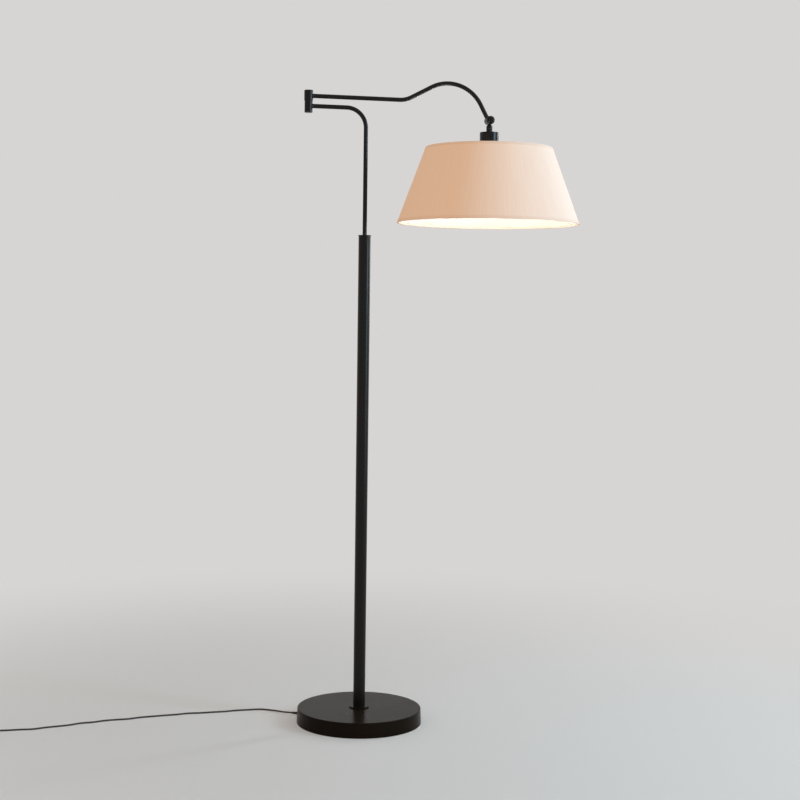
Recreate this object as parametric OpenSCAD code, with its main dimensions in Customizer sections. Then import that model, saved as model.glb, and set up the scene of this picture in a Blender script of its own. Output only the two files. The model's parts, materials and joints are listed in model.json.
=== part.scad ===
// Swing arm floor lamp in millimetres, with +Z up. The origin is the centre of the base's underside,
// +X points along the upper arm toward the shade, and +Y points to the back.

/* [Base] */
// Height of the weighted base
base_height = 35.3; // [30:0.1:60]
// Radius of the base at its lower edge
base_bottom_radius = 146.5; // [142:0.5:180]
// How far the wall of the base leans in from bottom to top
base_draft = 1.7; // [0.5:0.1:4]
// Rounding of the top edge of the base
base_edge_radius = 1.5; // [0.5:0.1:3]
// Sheet thickness of the base cover
cover_wall = 1.5; // [0.8:0.1:2.5]
// Height of the cover's rim above the floor
rim_gap = 0.5; // [0.2:0.1:1]
// Thickness of the felt pad
pad_thickness = 1.2; // [0.8:0.1:1.5]
// Thickness of the bottom plate
plate_thickness = 1; // [0.8:0.1:1.2]
// Gap between the cast weight and the wall of the cover
weight_gap = 8.3; // [4:0.1:20]
// Thickness of the cast weight
weight_thickness = 12; // [8:0.5:14]

/* [Foot fixing] */
// Diameter of the thin collar at the foot of the pole
collar_diameter = 46; // [36:0.5:70]
// Thickness of that collar
collar_thickness = 2.7; // [2:0.1:6]
// Outer diameter of the hollow nipple that holds the pole down
nipple_diameter = 10; // [9:0.5:12]
// Bore of the nipple
nipple_bore = 6.4; // [5:0.1:7]
// How far the nipple reaches below the nut
nipple_end = 0.8; // [0.5:0.1:1.5]
// How far the nipple reaches into the pole
nipple_reach = 26; // [20:1:40]
// Outer diameter of the foot washer
washer_diameter = 30; // [24:1:50]
// Thickness of the foot washer
washer_thickness = 1.5; // [1:0.1:2.5]
// Width across the flats of the foot nut
foot_nut_width = 17; // [16:0.5:22]
// Height of the foot nut
foot_nut_height = 4.5; // [3:0.5:5]

/* [Pole] */
// Outer diameter of the pole
pole_diameter = 28; // [24:0.5:36]
// Wall thickness of the pole
pole_wall = 1.2; // [0.8:0.1:1.6]
// Height of the pole's top, with its cap, above the floor
pole_top = 1140.7; // [1125:0.1:1160]
// How far the pole cap's rim stands out over the pole
cap_lip = 1; // [0.5:0.1:5]
// Thickness of the pole cap's rim
cap_thickness = 2.4; // [1.8:0.1:5]
// Length of the cap's spigot inside the pole
cap_spigot = 16; // [12:1:20]
// Length of the plug in the pole's foot
plug_length = 20; // [12:1:24]

/* [Riser] */
// Outer diameter of the riser and both arms
tube_diameter = 10; // [9:0.1:11]
// Wall thickness of the riser and both arms
tube_wall = 1; // [0.8:0.1:1.2]
// How far the riser reaches down into the pole at rest
riser_depth = 300.7; // [240:0.1:360]
// Radius of the riser's bend on its centreline
riser_bend = 45; // [35:1:60]
// How far the lower arm's centreline stands above the pole at rest
lower_arm_rise = 290.7; // [240:0.1:330]
// Wall thickness of the bush that the riser slides in
bush_wall = 2; // [1.5:0.1:2.5]
// Diameter of the bush's top flange
bush_flange = 17.6; // [16.5:0.1:19]
// Thickness of the bush's top flange
bush_flange_thickness = 1.2; // [0.8:0.1:1.5]
// Height of the clip ring below the cap
clip_thickness = 1.2; // [0.8:0.1:1.5]
// Depth of the clip's groove
clip_depth = 0.6; // [0.4:0.1:0.8]
// Outer diameter of the clip ring
clip_diameter = 18; // [17:0.5:20]
// Length of the guide at the riser's lower end
guide_length = 25; // [15:1:40]
// Diameter of the stop ring on the riser
stop_diameter = 18; // [16:0.5:22]
// Height of the stop ring
stop_height = 7; // [6:0.5:12]
// How far the riser can be pulled up before the stop meets the bush
lift_up = 70; // [30:5:120]
// How far the riser can be pushed down
lift_down = 230; // [120:5:260]

/* [Hinge barrel] */
// Distance of the barrel's axis behind the pole's axis
barrel_offset = 134.07; // [110:0.1:170]
// Diameter of the lower knuckle
lower_knuckle_diameter = 18.4; // [16.5:0.1:22]
// How far the lower knuckle reaches below the lower arm's centreline
lower_knuckle_below = 15.1; // [12:0.1:20]
// How far the lower knuckle reaches above the lower arm's centreline
lower_knuckle_above = 11.3; // [10:0.1:14]
// Diameter of the upper knuckle
upper_knuckle_diameter = 20.2; // [18:0.1:23]
// How far the upper knuckle reaches below the upper arm's centreline
upper_knuckle_below = 11; // [10:0.1:14]
// How far the upper knuckle reaches above the upper arm's centreline
upper_knuckle_above = 12.6; // [11:0.1:20]
// Thickness of the friction washer
knuckle_washer_thickness = 0.6; // [0.4:0.1:1]
// Wall thickness of the knuckles
knuckle_wall = 2; // [1.6:0.1:2.4]
// Thickness of the knuckles' end walls
knuckle_floor = 4; // [3:0.1:4.5]
// Chamfer on the knuckles' outer edges
knuckle_chamfer = 0.6; // [0.2:0.1:1]
// Outer diameter of the hollow pivot sleeve
sleeve_diameter = 8; // [7.4:0.1:8.6]
// Bore of the pivot sleeve
sleeve_bore = 5.2; // [4.4:0.1:5.6]
// Gap round the pivot sleeve's nut in the lower knuckle
sleeve_head_gap = 0.9; // [0.5:0.1:1.5]
// Thickness of the pivot sleeve's head
sleeve_head_thickness = 1.5; // [1:0.1:1.6]
// Height of the pivot nut
pivot_nut_height = 2.6; // [2:0.1:2.8]
// Thickness of the spring washer under the head
spring_washer_thickness = 0.5; // [0.3:0.1:0.6]
// Thickness of the knuckles' end caps
end_cap_thickness = 2.5; // [1.5:0.1:3]

/* [Upper arm] */
// Slope at which the arm climbs to its crest
rise_angle = 28; // [20:1:36]
// Slope at which the arm drops from its crest
fall_angle = 62; // [50:1:75]
// Radius of the crest
crest_radius = 88; // [80:1:96]
// Radius of the bend where the arm starts to climb
dip_radius = 60; // [40:1:80]
// Length of the straight tail down to the tilt axis
tail_length = 40.8; // [32:0.1:50]

/* [Tilt joint] */
// Distance of the tilt axis from the pole's axis
tilt_offset = 292.5; // [270:0.5:320]
// How far the tilt axis lies below the upper arm's level stretch
tilt_drop = 40; // [34:0.1:46]
// Thickness of each disc
disc_thickness = 8.6; // [8:0.1:9]
// Thickness of the friction washer between the discs
tilt_washer_thickness = 0.6; // [0.4:0.1:0.8]
// Diameter of the hub around the screw
hub_diameter = 7.4; // [7:0.1:7.8]
// Rim wall of the hollow discs
disc_rim = 1.6; // [1.3:0.1:1.8]
// Back wall of the hollow discs
disc_back = 2; // [1.6:0.1:2]
// Distance from the disc's rim to the end of the arm's tube
neck_length = 1.7; // [1:0.1:4]
// Length of the spigot inside the arm's tube
arm_spigot = 10; // [6:0.5:14]
// Diameter of the tilt screw
tilt_screw_diameter = 5; // [4:0.1:5.4]
// Diameter of the tilt knob
knob_diameter = 20; // [18:0.5:26]
// Length of the tilt knob
knob_length = 10.9; // [9.5:0.1:14]
// Distance from the knob's back to its widest place
knob_widest = 3.9; // [2:0.1:6]
// Diameter of the domed nut
domed_nut_diameter = 14.6; // [12:0.1:18]
// Length of the domed nut
domed_nut_length = 9.6; // [8:0.1:12]
// How far the cup's flat top lies below the tilt axis
stem_length = 27.8; // [24:0.1:36]
// Diameter of the stem below the tilt joint
stem_diameter = 14.5; // [12.5:0.1:16]
// Bore of the stem
stem_bore = 6; // [5:0.1:6.4]

/* [Socket] */
// Diameter of the metal cup over the socket
cup_diameter = 44.5; // [42:0.1:54]
// Depth of the cup
cup_depth = 29.5; // [27:0.5:36]
// Sheet thickness of the cup
cup_wall = 1; // [0.6:0.1:1.5]
// Diameter of the stem's threaded end
spigot_diameter = 9.8; // [8.5:0.1:11]
// Length of the stem's threaded end
spigot_length = 18; // [15:0.5:20]
// Width across the flats of the socket nut
socket_nut_width = 14; // [13:0.5:20]
// Height of the socket nut
socket_nut_height = 4; // [3:0.5:5]
// Diameter of the socket's hub
socket_hub = 22; // [16:0.5:28]
// Height of the socket's hub
socket_hub_height = 14.5; // [12:0.5:16]
// Wall thickness of the socket's body
socket_wall = 3; // [2:0.1:4]
// Gap between the socket's shoulder and the cup
shoulder_gap = 0.75; // [0.5:0.05:1.5]
// Thickness of that shoulder
shoulder_thickness = 3; // [2:0.1:4]
// Height of the spring contact over the bulb
contact_height = 4; // [3:0.1:6]
// Gap for the thread between the screw shell and the bulb's base
thread_gap = 0.55; // [0.4:0.05:0.9]
// Wall thickness of the brass screw shell
shell_wall = 0.4; // [0.3:0.1:0.5]
// Wall thickness of the shade ring nut
ring_nut_wall = 4.45; // [3:0.05:6]
// Height of the shade ring nut
ring_nut_height = 8; // [6:0.5:9]
// How far the switch's axis lies below the shade ring nut
switch_drop = 7.2; // [6:0.1:9]
// How far the socket's cavity starts below the switch's axis
cavity_drop = 6.2; // [5:0.1:8]
// Diameter of the switch shaft
switch_shaft = 4; // [3.5:0.1:4.2]
// Diameter of the switch's threaded bushing
switch_bushing_diameter = 7; // [6.5:0.1:7.4]
// Diameter of the switch knob
switch_knob_diameter = 9; // [8:0.1:11]
// Length of the switch knob
switch_knob_length = 13; // [10:0.5:14]

/* [Bulb] */
// Diameter of the bulb's globe
bulb_diameter = 67; // [60:0.5:70]
// How far up the socket the bulb's metal base starts
bulb_inset = 3; // [1:0.1:6]
// Length of the glass's straight throat
throat_length = 4.3; // [2:0.1:8]
// Slope of the bulb's neck against its axis
bulb_slope = 20; // [18:0.5:22]
// Wall thickness of the glass
bulb_wall = 0.8; // [0.5:0.1:1.2]
// Diameter of the bulb's metal base
bulb_base_diameter = 26; // [25.5:0.1:26.2]
// Length of the bulb's metal base
bulb_base_length = 24; // [22:0.5:25]
// Diameter of the bulb's end contact
bulb_contact_diameter = 9.5; // [8:0.1:11]
// Height of the bulb's end contact
bulb_contact_height = 3; // [2:0.1:3.2]

/* [Shade] */
// How far the shade's top edge lies below the spider's plate
shade_drop = 6.7; // [5:0.1:20]
// Height of the shade
shade_height = 176.8; // [150:0.1:200]
// Radius of the shade's top edge
shade_top_radius = 149; // [135:0.5:160]
// Radius of the shade's bottom edge
shade_bottom_radius = 214.4; // [200:0.5:225]
// Thickness of the linen
linen_thickness = 0.5; // [0.3:0.05:0.8]
// Thickness of the plastic liner
liner_thickness = 0.4; // [0.3:0.05:0.6]
// Thickness of the hem's folded strip
hem_thickness = 0.35; // [0.2:0.05:0.5]
// Width of the hem along the shade
hem_width = 7; // [6:0.5:12]
// Diameter of the shade's wire rings
wire_diameter = 3; // [2.4:0.1:3.4]
// Thickness of the spider's hub plate
spider_plate = 1.6; // [1.2:0.1:2]
// How far the spider's hub plate stands out round the cup
spider_lip = 0.75; // [0.6:0.05:3]
// Number of arms on the spider
spider_arms = 3; // [3:1:4]

/* [Cord] */
// Diameter of the supply cord
cord_diameter = 4; // [3.8:0.1:4.1]
// Diameter of the inner cord, without its jacket
inner_cord_diameter = 3.2; // [2.6:0.1:3.4]
// Length of the strain relief outside the base
relief_length = 22; // [20:1:30]
// Diameter of the strain relief at the base
relief_diameter = 7.8; // [7:0.1:8]
// Diameter of the strain relief's tip
relief_tip = 5.2; // [4.8:0.1:5.6]
// Diameter of the strain relief's neck in the wall
relief_neck = 6.4; // [6:0.1:6.6]
// Thickness of the strain relief's inner flange
relief_flange = 1.5; // [1:0.1:2]
// Gap between neighbouring turns in the coil
coil_turn_gap = 0.5; // [0.45:0.05:0.8]
// Mean radius of the coil's turns
coil_radius = 22.25; // [21:0.25:24]
// Thickness of the coil's tie
tie_thickness = 0.6; // [0.4:0.1:0.8]
// Width of the coil's tie
tie_width = 9; // [6:0.5:14]

/* [Plug] */
// Width of the plug's body
plug_width = 24; // [20:0.5:28]
// Thickness of the plug's body
plug_thickness = 14; // [13:0.5:16]
// Length of the plug's body
plug_body_length = 26; // [22:0.5:32]
// Radius of the plug's rounded back
plug_crown = 13; // [12.1:0.1:20]
// Length of the plug's blades outside the body
blade_length = 16.5; // [15:0.5:18]
// Distance between the two blades
blade_spacing = 12.7; // [12:0.1:13]
// Thickness of a blade
blade_thickness = 1.5; // [1.3:0.1:1.7]
// Width of the narrow blade
narrow_blade = 6.4; // [6:0.1:6.8]
// Width of the wide blade
wide_blade = 7.9; // [7.5:0.1:8.3]

/* [Hidden] */
$fn = 64;
bronze = [0.12, 0.1, 0.09];
steel = [0.62, 0.62, 0.6];
iron = [0.25, 0.25, 0.26];
brass = [0.78, 0.62, 0.32];
felt = [0.1, 0.1, 0.1];
nylon = [0.08, 0.08, 0.08];
black = [0.06, 0.06, 0.06];
linen = [0.88, 0.78, 0.66];
white = [0.93, 0.92, 0.88];
glass = [0.98, 0.96, 0.9, 0.8];

// Clearances: running for what turns or slides, seat for what is fixed, and over for cuts
running = 0.05;
guide_clearance = 0.1;
seat = 0.05;
over = 1;
bend_slim = 0.1;
bend_overlap = 0.4;

// The base, the foot and the pole
base_top_radius = base_bottom_radius - base_draft;
weight_radius = base_top_radius - cover_wall - weight_gap;
plate_top = pad_thickness + plate_thickness;
cover_underside = base_height - cover_wall;
weight_bottom = cover_underside - weight_thickness;
washer_bottom = weight_bottom - washer_thickness;
foot_nut_bottom = washer_bottom - foot_nut_height;
nipple_bottom = foot_nut_bottom - nipple_end;
pole_bottom = base_height + collar_thickness;
pole_bore = pole_diameter - 2 * pole_wall;
pole_length_top = pole_top - cap_thickness;
cap_bottom = pole_length_top - cap_spigot;
cap_diameter = pole_diameter + 2 * cap_lip;
collar_chamfer = 0.5;
pad_inset = 1;

// The riser and its bush
tube_bore = tube_diameter - 2 * tube_wall;
bush_diameter = tube_diameter + 2 * bush_wall;
clip_gap = 0.2;
clip_top = cap_bottom - clip_gap;
bush_tail = 3;
bush_bottom = clip_top - clip_thickness - bush_tail;
clip_opening = 60;
stop_top = bush_bottom - lift_up;
riser_bottom = pole_top - riser_depth;
guide_rise = 2;
guide_bottom = riser_bottom + guide_rise;
lower_arm_height = pole_top + lower_arm_rise;
riser_bend_height = lower_arm_height - riser_bend;

// The hinge barrel
lower_knuckle_bottom = lower_arm_height - lower_knuckle_below;
lower_knuckle_top = lower_arm_height + lower_knuckle_above;
upper_knuckle_bottom = lower_knuckle_top + knuckle_washer_thickness;
upper_arm_height = upper_knuckle_bottom + upper_knuckle_below;
upper_knuckle_top = upper_arm_height + upper_knuckle_above;
barrel_split = lower_knuckle_top + knuckle_washer_thickness / 2;
cap_recess = 0.2;
lower_chamber = lower_knuckle_diameter - 2 * knuckle_wall;
upper_chamber = upper_knuckle_diameter - 2 * knuckle_wall;
lower_chamber_top = lower_knuckle_top - knuckle_floor;
upper_chamber_bottom = upper_knuckle_bottom + knuckle_floor;
sleeve_head_bottom = upper_chamber_bottom + spring_washer_thickness;
sleeve_top = sleeve_head_bottom + sleeve_head_thickness;
sleeve_bottom = lower_chamber_top - pivot_nut_height;
sleeve_head = lower_chamber - 2 * sleeve_head_gap;
tube_end_reach = 0.4;
lower_tube_end = lower_chamber / 2 - tube_end_reach;
upper_tube_end = upper_chamber / 2 - tube_end_reach;
knuckle_washer_inset = 0.5;
riser_cord_end = 6;
riser_cord_room = 5.5;
cord_end_gap = 0.2;

// The upper arm, worked back from the tilt axis
tilt_height = upper_arm_height - tilt_drop;
crest_end = [
    tilt_offset - tail_length * cos(fall_angle),
    tilt_height + tail_length * sin(fall_angle)
];
crest_centre = crest_end - crest_radius * [sin(fall_angle), cos(fall_angle)];
crest_start = crest_centre + crest_radius * [-sin(rise_angle), cos(rise_angle)];
dip_end_height = upper_arm_height + dip_radius * (1 - cos(rise_angle));
climb_length = (crest_start[1] - dip_end_height) / sin(rise_angle);
dip_start = crest_start[0] - climb_length * cos(rise_angle) - dip_radius * sin(rise_angle);

// The tilt joint: the arm's disc lies on the arm's plane, the shade's disc in front of it
cord_play = 0.8;
chamber_radius = hub_diameter / 2 + inner_cord_diameter + cord_play;
disc_radius = chamber_radius + disc_rim;
disc_diameter = 2 * disc_radius;
arm_disc_front = -disc_thickness / 2;
arm_disc_back = disc_thickness / 2;
head_disc_back = arm_disc_front - tilt_washer_thickness;
head_disc_front = head_disc_back - disc_thickness;
head_plane = head_disc_back - disc_thickness / 2;
knob_gap = 0.1;
knob_back = head_disc_front - knob_gap;
knob_front = knob_back - knob_length;
knob_middle = knob_back - knob_widest;
hub_gap = 0.3;
neck_start = disc_radius + hub_gap;
neck_end = disc_radius + neck_length;
cord_path_radius = (hub_diameter / 2 + chamber_radius) / 2;
cord_bore = inner_cord_diameter + 2 * seat + cord_play;
stem_clearance = 0.4;
stem_sink = 3;
nut_reach = 6.5;
nut_rim = 0.5;
screw_reach = 7.5;
screw_end_gap = 0.3;

// The socket and the bulb, from the cup down
cup_top = tilt_height - stem_length;
cup_bottom = cup_top - cup_depth;
socket_nut_top = cup_top - cup_wall;
socket_nut_gap = 0.5;
socket_hub_top = socket_nut_top - socket_nut_height - socket_nut_gap;
socket_body_top = socket_hub_top - socket_hub_height;
spigot_end_gap = 2;
spider_top = cup_bottom;
spider_bottom = spider_top - spider_plate;
spider_diameter = cup_diameter + 2 * spider_lip;
spider_weld = 0.45;
ring_nut_bottom = spider_bottom - ring_nut_height;
switch_height = ring_nut_bottom - switch_drop;
cavity_top = switch_height - cavity_drop;
bulb_contact_top = cavity_top - contact_height;
bulb_base_top = bulb_contact_top - bulb_contact_height;
bulb_neck = bulb_base_top - bulb_base_length;
socket_mouth = bulb_neck - bulb_inset;
socket_cavity = bulb_base_diameter + 2 * (thread_gap + shell_wall + seat);
socket_diameter = socket_cavity + 2 * socket_wall;
shoulder_diameter = cup_diameter - 2 * cup_wall - 2 * shoulder_gap;
ring_nut_bore = socket_diameter + 2 * seat;
ring_nut_diameter = ring_nut_bore + 2 * ring_nut_wall;
shell_lift = 1;
shell_bottom = bulb_neck + shell_lift;
shell_top = bulb_base_top + 2 * shell_lift;
shell_outer = socket_cavity - 2 * seat;
contact_diameter = 6;
bulb_radius = bulb_diameter / 2;
bulb_throat = bulb_base_diameter / 2;
bulb_throat_inset = 0.2;
bulb_throat_height = bulb_neck - throat_length;
bulb_tangent_radius = bulb_radius * cos(bulb_slope);
bulb_tangent_height = bulb_throat_height - (bulb_tangent_radius - bulb_throat) / tan(bulb_slope);
bulb_centre = bulb_tangent_height - bulb_radius * sin(bulb_slope);
switch_bushing_start = 8;
switch_bushing_reach = 5;
switch_bushing_end = socket_diameter / 2 + switch_bushing_reach;
switch_shaft_start = 9;
switch_knob_gap = 1.5;
switch_knob_start = switch_bushing_end + switch_knob_gap;

// The shade: s runs up its slope from the bottom edge, and v runs inward, square to the slope
shade_top = spider_top - shade_drop;
shade_bottom = shade_top - shade_height;
shade_spread = shade_bottom_radius - shade_top_radius;
shade_slope = atan(shade_spread / shade_height);
shade_length = sqrt(shade_height * shade_height + shade_spread * shade_spread);
cover_depth = hem_thickness + seat;
linen_depth = cover_depth + linen_thickness;
liner_depth = linen_depth + liner_thickness;
wire_depth = liner_depth + seat + wire_diameter / 2;
hem_depth = liner_depth + wire_diameter + 2 * seat;
notch_clearance = 0.2;
cover_inset = 1.2;
bottom_wire_inset = 3.4;
top_wire_inset = 2.4;
function shade_point(s, v) = [
    shade_bottom_radius - s * sin(shade_slope) - v * cos(shade_slope),
    shade_bottom + s * cos(shade_slope) - v * sin(shade_slope)
];
top_wire = shade_point(shade_length - top_wire_inset, wire_depth);
bottom_wire = shade_point(bottom_wire_inset, wire_depth);
spider_plate_middle = (spider_top + spider_bottom) / 2;

// The cord's exit from the base and its route over the floor
inlet_angle = 151;
relief_floor_gap = 0.2;
inlet_height = plate_top + relief_diameter / 2 + relief_floor_gap;
function wall_radius(z) = base_bottom_radius - base_draft * z / base_height;
wall_outside = wall_radius(inlet_height - relief_diameter / 2);
wall_inside = wall_radius(inlet_height + relief_diameter / 2) - cover_wall;
jacket_end = 5;
inlet_start = wall_inside - relief_flange - jacket_end;
relief_end = wall_outside + relief_length;
plate_cord_gap = 1.2;
plate_cord_height = plate_top + plate_cord_gap + inner_cord_diameter / 2;
cord_bend = nipple_bottom - plate_cord_height;
pole_cord_gap = 4;
pole_cord_top = riser_bottom - riser_cord_end - lift_down - pole_cord_gap;
cord_radius = cord_diameter / 2;
inlet_direction = [cos(inlet_angle), sin(inlet_angle), 0];
coil_centre = [-851, 29];
coil_turns_per_layer = 1.75;
coil_layers = 4;
coil_last_turn = 0.25;
coil_climb_half = 0.25;
coil_turns = coil_layers * coil_turns_per_layer + coil_last_turn;
coil_pitch = cord_diameter + coil_turn_gap;
coil_outer = coil_radius + coil_pitch * coil_turns_per_layer / 2;
tie_clearance = 0.15;
coil_base = cord_radius + tie_thickness + tie_clearance;
coil_rings = 24;
coil_sides = 6;
coil_start = [coil_centre[0] + cord_diameter, coil_centre[1] + coil_outer, coil_base];
floor_points = [
    [-215, 141], [-244, 141], [-273, 140], [-302, 135], [-331, 134], [-360, 132], [-388, 133],
    [-417, 127], [-445, 124], [-474, 120], [-502, 116], [-530, 107], [-558, 105], [-586, 101],
    [-613, 92], [-641, 88], [-668, 76], [-695, 70], [-722, 64], [-748, 56], [-775, 57], [-801, 56]
];
function inlet_point(distance) = inlet_direction * distance + [0, 0, inlet_height];
inlet_middle = (inlet_start + relief_end) / 2;
lead_straight = 6;
cord_route = concat(
    [
        inlet_point(inlet_start), inlet_point(inlet_middle), inlet_point(relief_end),
        inlet_point(relief_end + lead_straight), [-164, 96, 4.9], [-187, 124, 2.6]
    ],
    [for (point = floor_points) [point[0], point[1], cord_radius]],
    [[-824, 55.5, 2.3], coil_start]
);
lead_sides = 8;
lead_steps = 3;

// The cord's tail from the coil to the plug
coil_top = coil_base + coil_pitch * (coil_layers - 1);
plug_middle = plug_thickness / 2;
coil_exit = coil_outer + coil_pitch * coil_last_turn;
tail_start = [coil_centre[0] - coil_exit, coil_centre[1] - cord_diameter, coil_top];
plug_back = tail_start + [-3, -43, plug_middle - coil_top];
tail_route = [
    tail_start,
    tail_start + [0, -8, -0.6],
    tail_start + [-1, -18, -4.4],
    plug_back + [0.6, 12, 1],
    plug_back
];
tie_angle = 235;
blade_root = 6;
blade_hole = 3;
blade_hole_place = 3.5;

// Shared forms

// A pipe along Z between two heights
module pipe(outer, inner, bottom, top) {
    difference() {
        translate([0, 0, bottom]) cylinder(d = outer, h = top - bottom);
        translate([0, 0, bottom - over]) cylinder(d = inner, h = top - bottom + 2 * over);
    }
}

// A round bar along Z between two heights
module bar(diameter, bottom, top) {
    translate([0, 0, bottom]) cylinder(d = diameter, h = top - bottom);
}

// A hexagonal bar along Z between two heights
module hexagon(width, bottom, top) {
    translate([0, 0, bottom]) cylinder(d = width / cos(30), h = top - bottom, $fn = 6);
}

// A round bar along Y, from the front to the back of a span, on the tilt axis
module tilt_bar(diameter, front, back) {
    translate([tilt_offset, back, tilt_height]) rotate([90, 0, 0]) cylinder(d = diameter, h = back - front);
}

// A bent bar in the plane of the arms, about a centre, from one angle through another. It is drawn a
// touch slimmer than the straight legs, which reach a little way over its ends.
module bend(centre, radius, from, through, diameter) {
    translate([centre[0], 0, centre[1]])
        rotate([90, 0, 0])
            rotate([0, 0, from])
                rotate_extrude(angle = through)
                    translate([radius, 0]) circle(d = diameter - bend_slim);
}

// A straight leg along +X with what follows at its end, and bends upward and downward likewise
module leg(length, diameter, start_reach, end_reach) {
    translate([-start_reach, 0, 0])
        rotate([0, 90, 0]) cylinder(d = diameter, h = start_reach + length + end_reach);
    translate([length, 0, 0]) children();
}
module bend_up(radius, angle, diameter) {
    bend([0, radius], radius, -90, angle, diameter);
    translate([0, 0, radius]) rotate([0, -angle, 0]) translate([0, 0, -radius]) children();
}
module bend_down(radius, angle, diameter) {
    bend([0, -radius], radius, 90 - angle, angle, diameter);
    translate([0, 0, -radius]) rotate([0, angle, 0]) translate([0, 0, radius]) children();
}

// A bar along X that leaves the axis of the barrel at a height
module barrel_side_bar(diameter, height, start, end) {
    translate([-barrel_offset + start, 0, height]) rotate([0, 90, 0]) cylinder(d = diameter, h = end - start);
}

// What follows moves to the axis of the barrel, or to the axis of the shade
module on_barrel() {
    translate([-barrel_offset, 0, 0]) children();
}
module on_shade() {
    translate([tilt_offset, head_plane, 0]) children();
}

// A closed tube through rings of points
function ring_faces(rings, sides) = [
    for (i = [0 : rings - 2], j = [0 : sides - 1])
        let (a = i * sides + j, b = i * sides + (j + 1) % sides)
            each [[a, b, b + sides], [a, b + sides, a + sides]]
];
function end_faces(rings, sides) = [
    for (j = [1 : sides - 2]) each [
        [0, j + 1, j],
        [(rings - 1) * sides, (rings - 1) * sides + j, (rings - 1) * sides + j + 1]
    ]
];
function unit(v) = v / norm(v);
function heading(points, i) = unit(
    points[min(i + 1, len(points) - 1)] - points[max(i - 1, 0)]
);
function ring_at(point, forward, radius, sides) =
    let (side = unit(cross(forward, [0, 0, 1])), up = cross(side, forward))
    [for (j = [0 : sides - 1])
        let (turn = 360 * (j + 0.5) / sides)
            point + radius * (cos(turn) * side + sin(turn) * up)];
module swept_tube(points, forwards, radius, sides) {
    rings = len(points);
    polyhedron(
        points = [for (i = [0 : rings - 1]) each ring_at(points[i], forwards[i], radius, sides)],
        faces = concat(ring_faces(rings, sides), end_faces(rings, sides))
    );
}

// A smooth curve through a list of points
function between(a, b, c, d, t) = 0.5 * (
    2 * b + (c - a) * t + (2 * a - 5 * b + 4 * c - d) * t * t + (3 * b - a - 3 * c + d) * t * t * t
);
function smooth(points, steps) = [
    for (i = [0 : len(points) - 2], k = [0 : steps - 1])
        between(
            points[max(i - 1, 0)], points[i], points[i + 1], points[min(i + 2, len(points) - 1)], k / steps
        ),
    points[len(points) - 1]
];
module cord_along(route, steps, radius, sides, first, last) {
    points = smooth(route, steps);
    count = len(points);
    forwards = [
        for (i = [0 : count - 1]) i == 0 ? first : (i == count - 1 ? last : heading(points, i))
    ];
    swept_tube(points, forwards, radius, sides);
}

function sum(list, i = 0) = i >= len(list) ? 0 : list[i] + sum(list, i + 1);

// The coil: its turns spiral in and out at a steady rate and climb a layer where the spiral turns back
function layer_of(turn) = min(floor(turn / coil_turns_per_layer), coil_layers - 1);
function in_layer(turn) = turn - layer_of(turn) * coil_turns_per_layer;
function coil_radius_at(turn) = layer_of(turn) % 2 == 0
    ? coil_outer - coil_pitch * in_layer(turn)
    : coil_outer - coil_pitch * (coil_turns_per_layer - in_layer(turn));
function climb(turn, edge) =
    max(0, min(1, (turn - edge * coil_turns_per_layer + coil_climb_half) / (2 * coil_climb_half)));
function coil_height_at(turn) =
    coil_base + coil_pitch * sum([for (edge = [1 : coil_layers - 1]) climb(turn, edge)]);
function coil_point(turn) =
    let (angle = 90 + 360 * turn, radius = coil_radius_at(turn))
    [coil_centre[0] + radius * cos(angle), coil_centre[1] + radius * sin(angle), coil_height_at(turn)];
coil_steps = coil_turns * coil_rings;
coil_curve = [for (i = [0 : coil_steps]) coil_point(i / coil_rings)];
coil_points = concat([coil_start], coil_curve, [tail_start]);
coil_forwards = [
    for (i = [0 : len(coil_points) - 1])
        i == 0 ? [-1, 0, 0] : (i == len(coil_points) - 1 ? [0, -1, 0] : heading(coil_points, i))
];

// The least gap of the coil to itself, between points at least half a turn apart
coil_gap = min([
    for (i = [0 : len(coil_curve) - 1], j = [0 : len(coil_curve) - 1])
        if (j - i > coil_rings / 2) norm(coil_curve[j] - coil_curve[i])
]) - cord_diameter;
echo(coil_gap = coil_gap);

// Lengths of the cord's stretches
function run_length(points) = sum([for (i = [1 : len(points) - 1]) norm(points[i] - points[i - 1])]);
echo(
    lead = run_length(smooth(cord_route, lead_steps)),
    coil = run_length(coil_points),
    tail = run_length(smooth(tail_route, lead_steps))
);

// Stand

// A bar along the cord's inlet, from one distance to another
module inlet_bar(start_diameter, end_diameter, start, end) {
    rotate([0, 0, inlet_angle])
        translate([start, 0, inlet_height])
            rotate([0, 90, 0])
                cylinder(d1 = start_diameter, d2 = end_diameter, h = end - start);
}

module base_cover() {
    shoulder = base_height - base_edge_radius;
    round_centre = wall_radius(shoulder) - base_edge_radius;
    color(bronze) difference() {
        rotate_extrude() union() {
            polygon([
                [0, rim_gap], [wall_radius(rim_gap), rim_gap], [wall_radius(shoulder), shoulder],
                [round_centre, base_height], [0, base_height]
            ]);
            translate([round_centre, shoulder]) circle(r = base_edge_radius);
        }
        rotate_extrude() polygon([
            [0, rim_gap - over], [wall_radius(rim_gap - over) - cover_wall, rim_gap - over],
            [wall_radius(cover_underside) - cover_wall, cover_underside], [0, cover_underside]
        ]);
        bar(nipple_diameter + 2 * seat, cover_underside - over, base_height + over);
        inlet_bar(
            relief_neck + 2 * guide_clearance, relief_neck + 2 * guide_clearance,
            inlet_start, base_bottom_radius + over
        );
    }
}

module base_weight() {
    color(iron) pipe(2 * weight_radius, nipple_diameter + 2 * seat, weight_bottom, cover_underside);
}

module base_plate() {
    reach = cover_wall + seat;
    color(steel) translate([0, 0, pad_thickness]) cylinder(
        r1 = wall_radius(pad_thickness) - reach, r2 = wall_radius(plate_top) - reach, h = plate_thickness
    );
}

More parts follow.
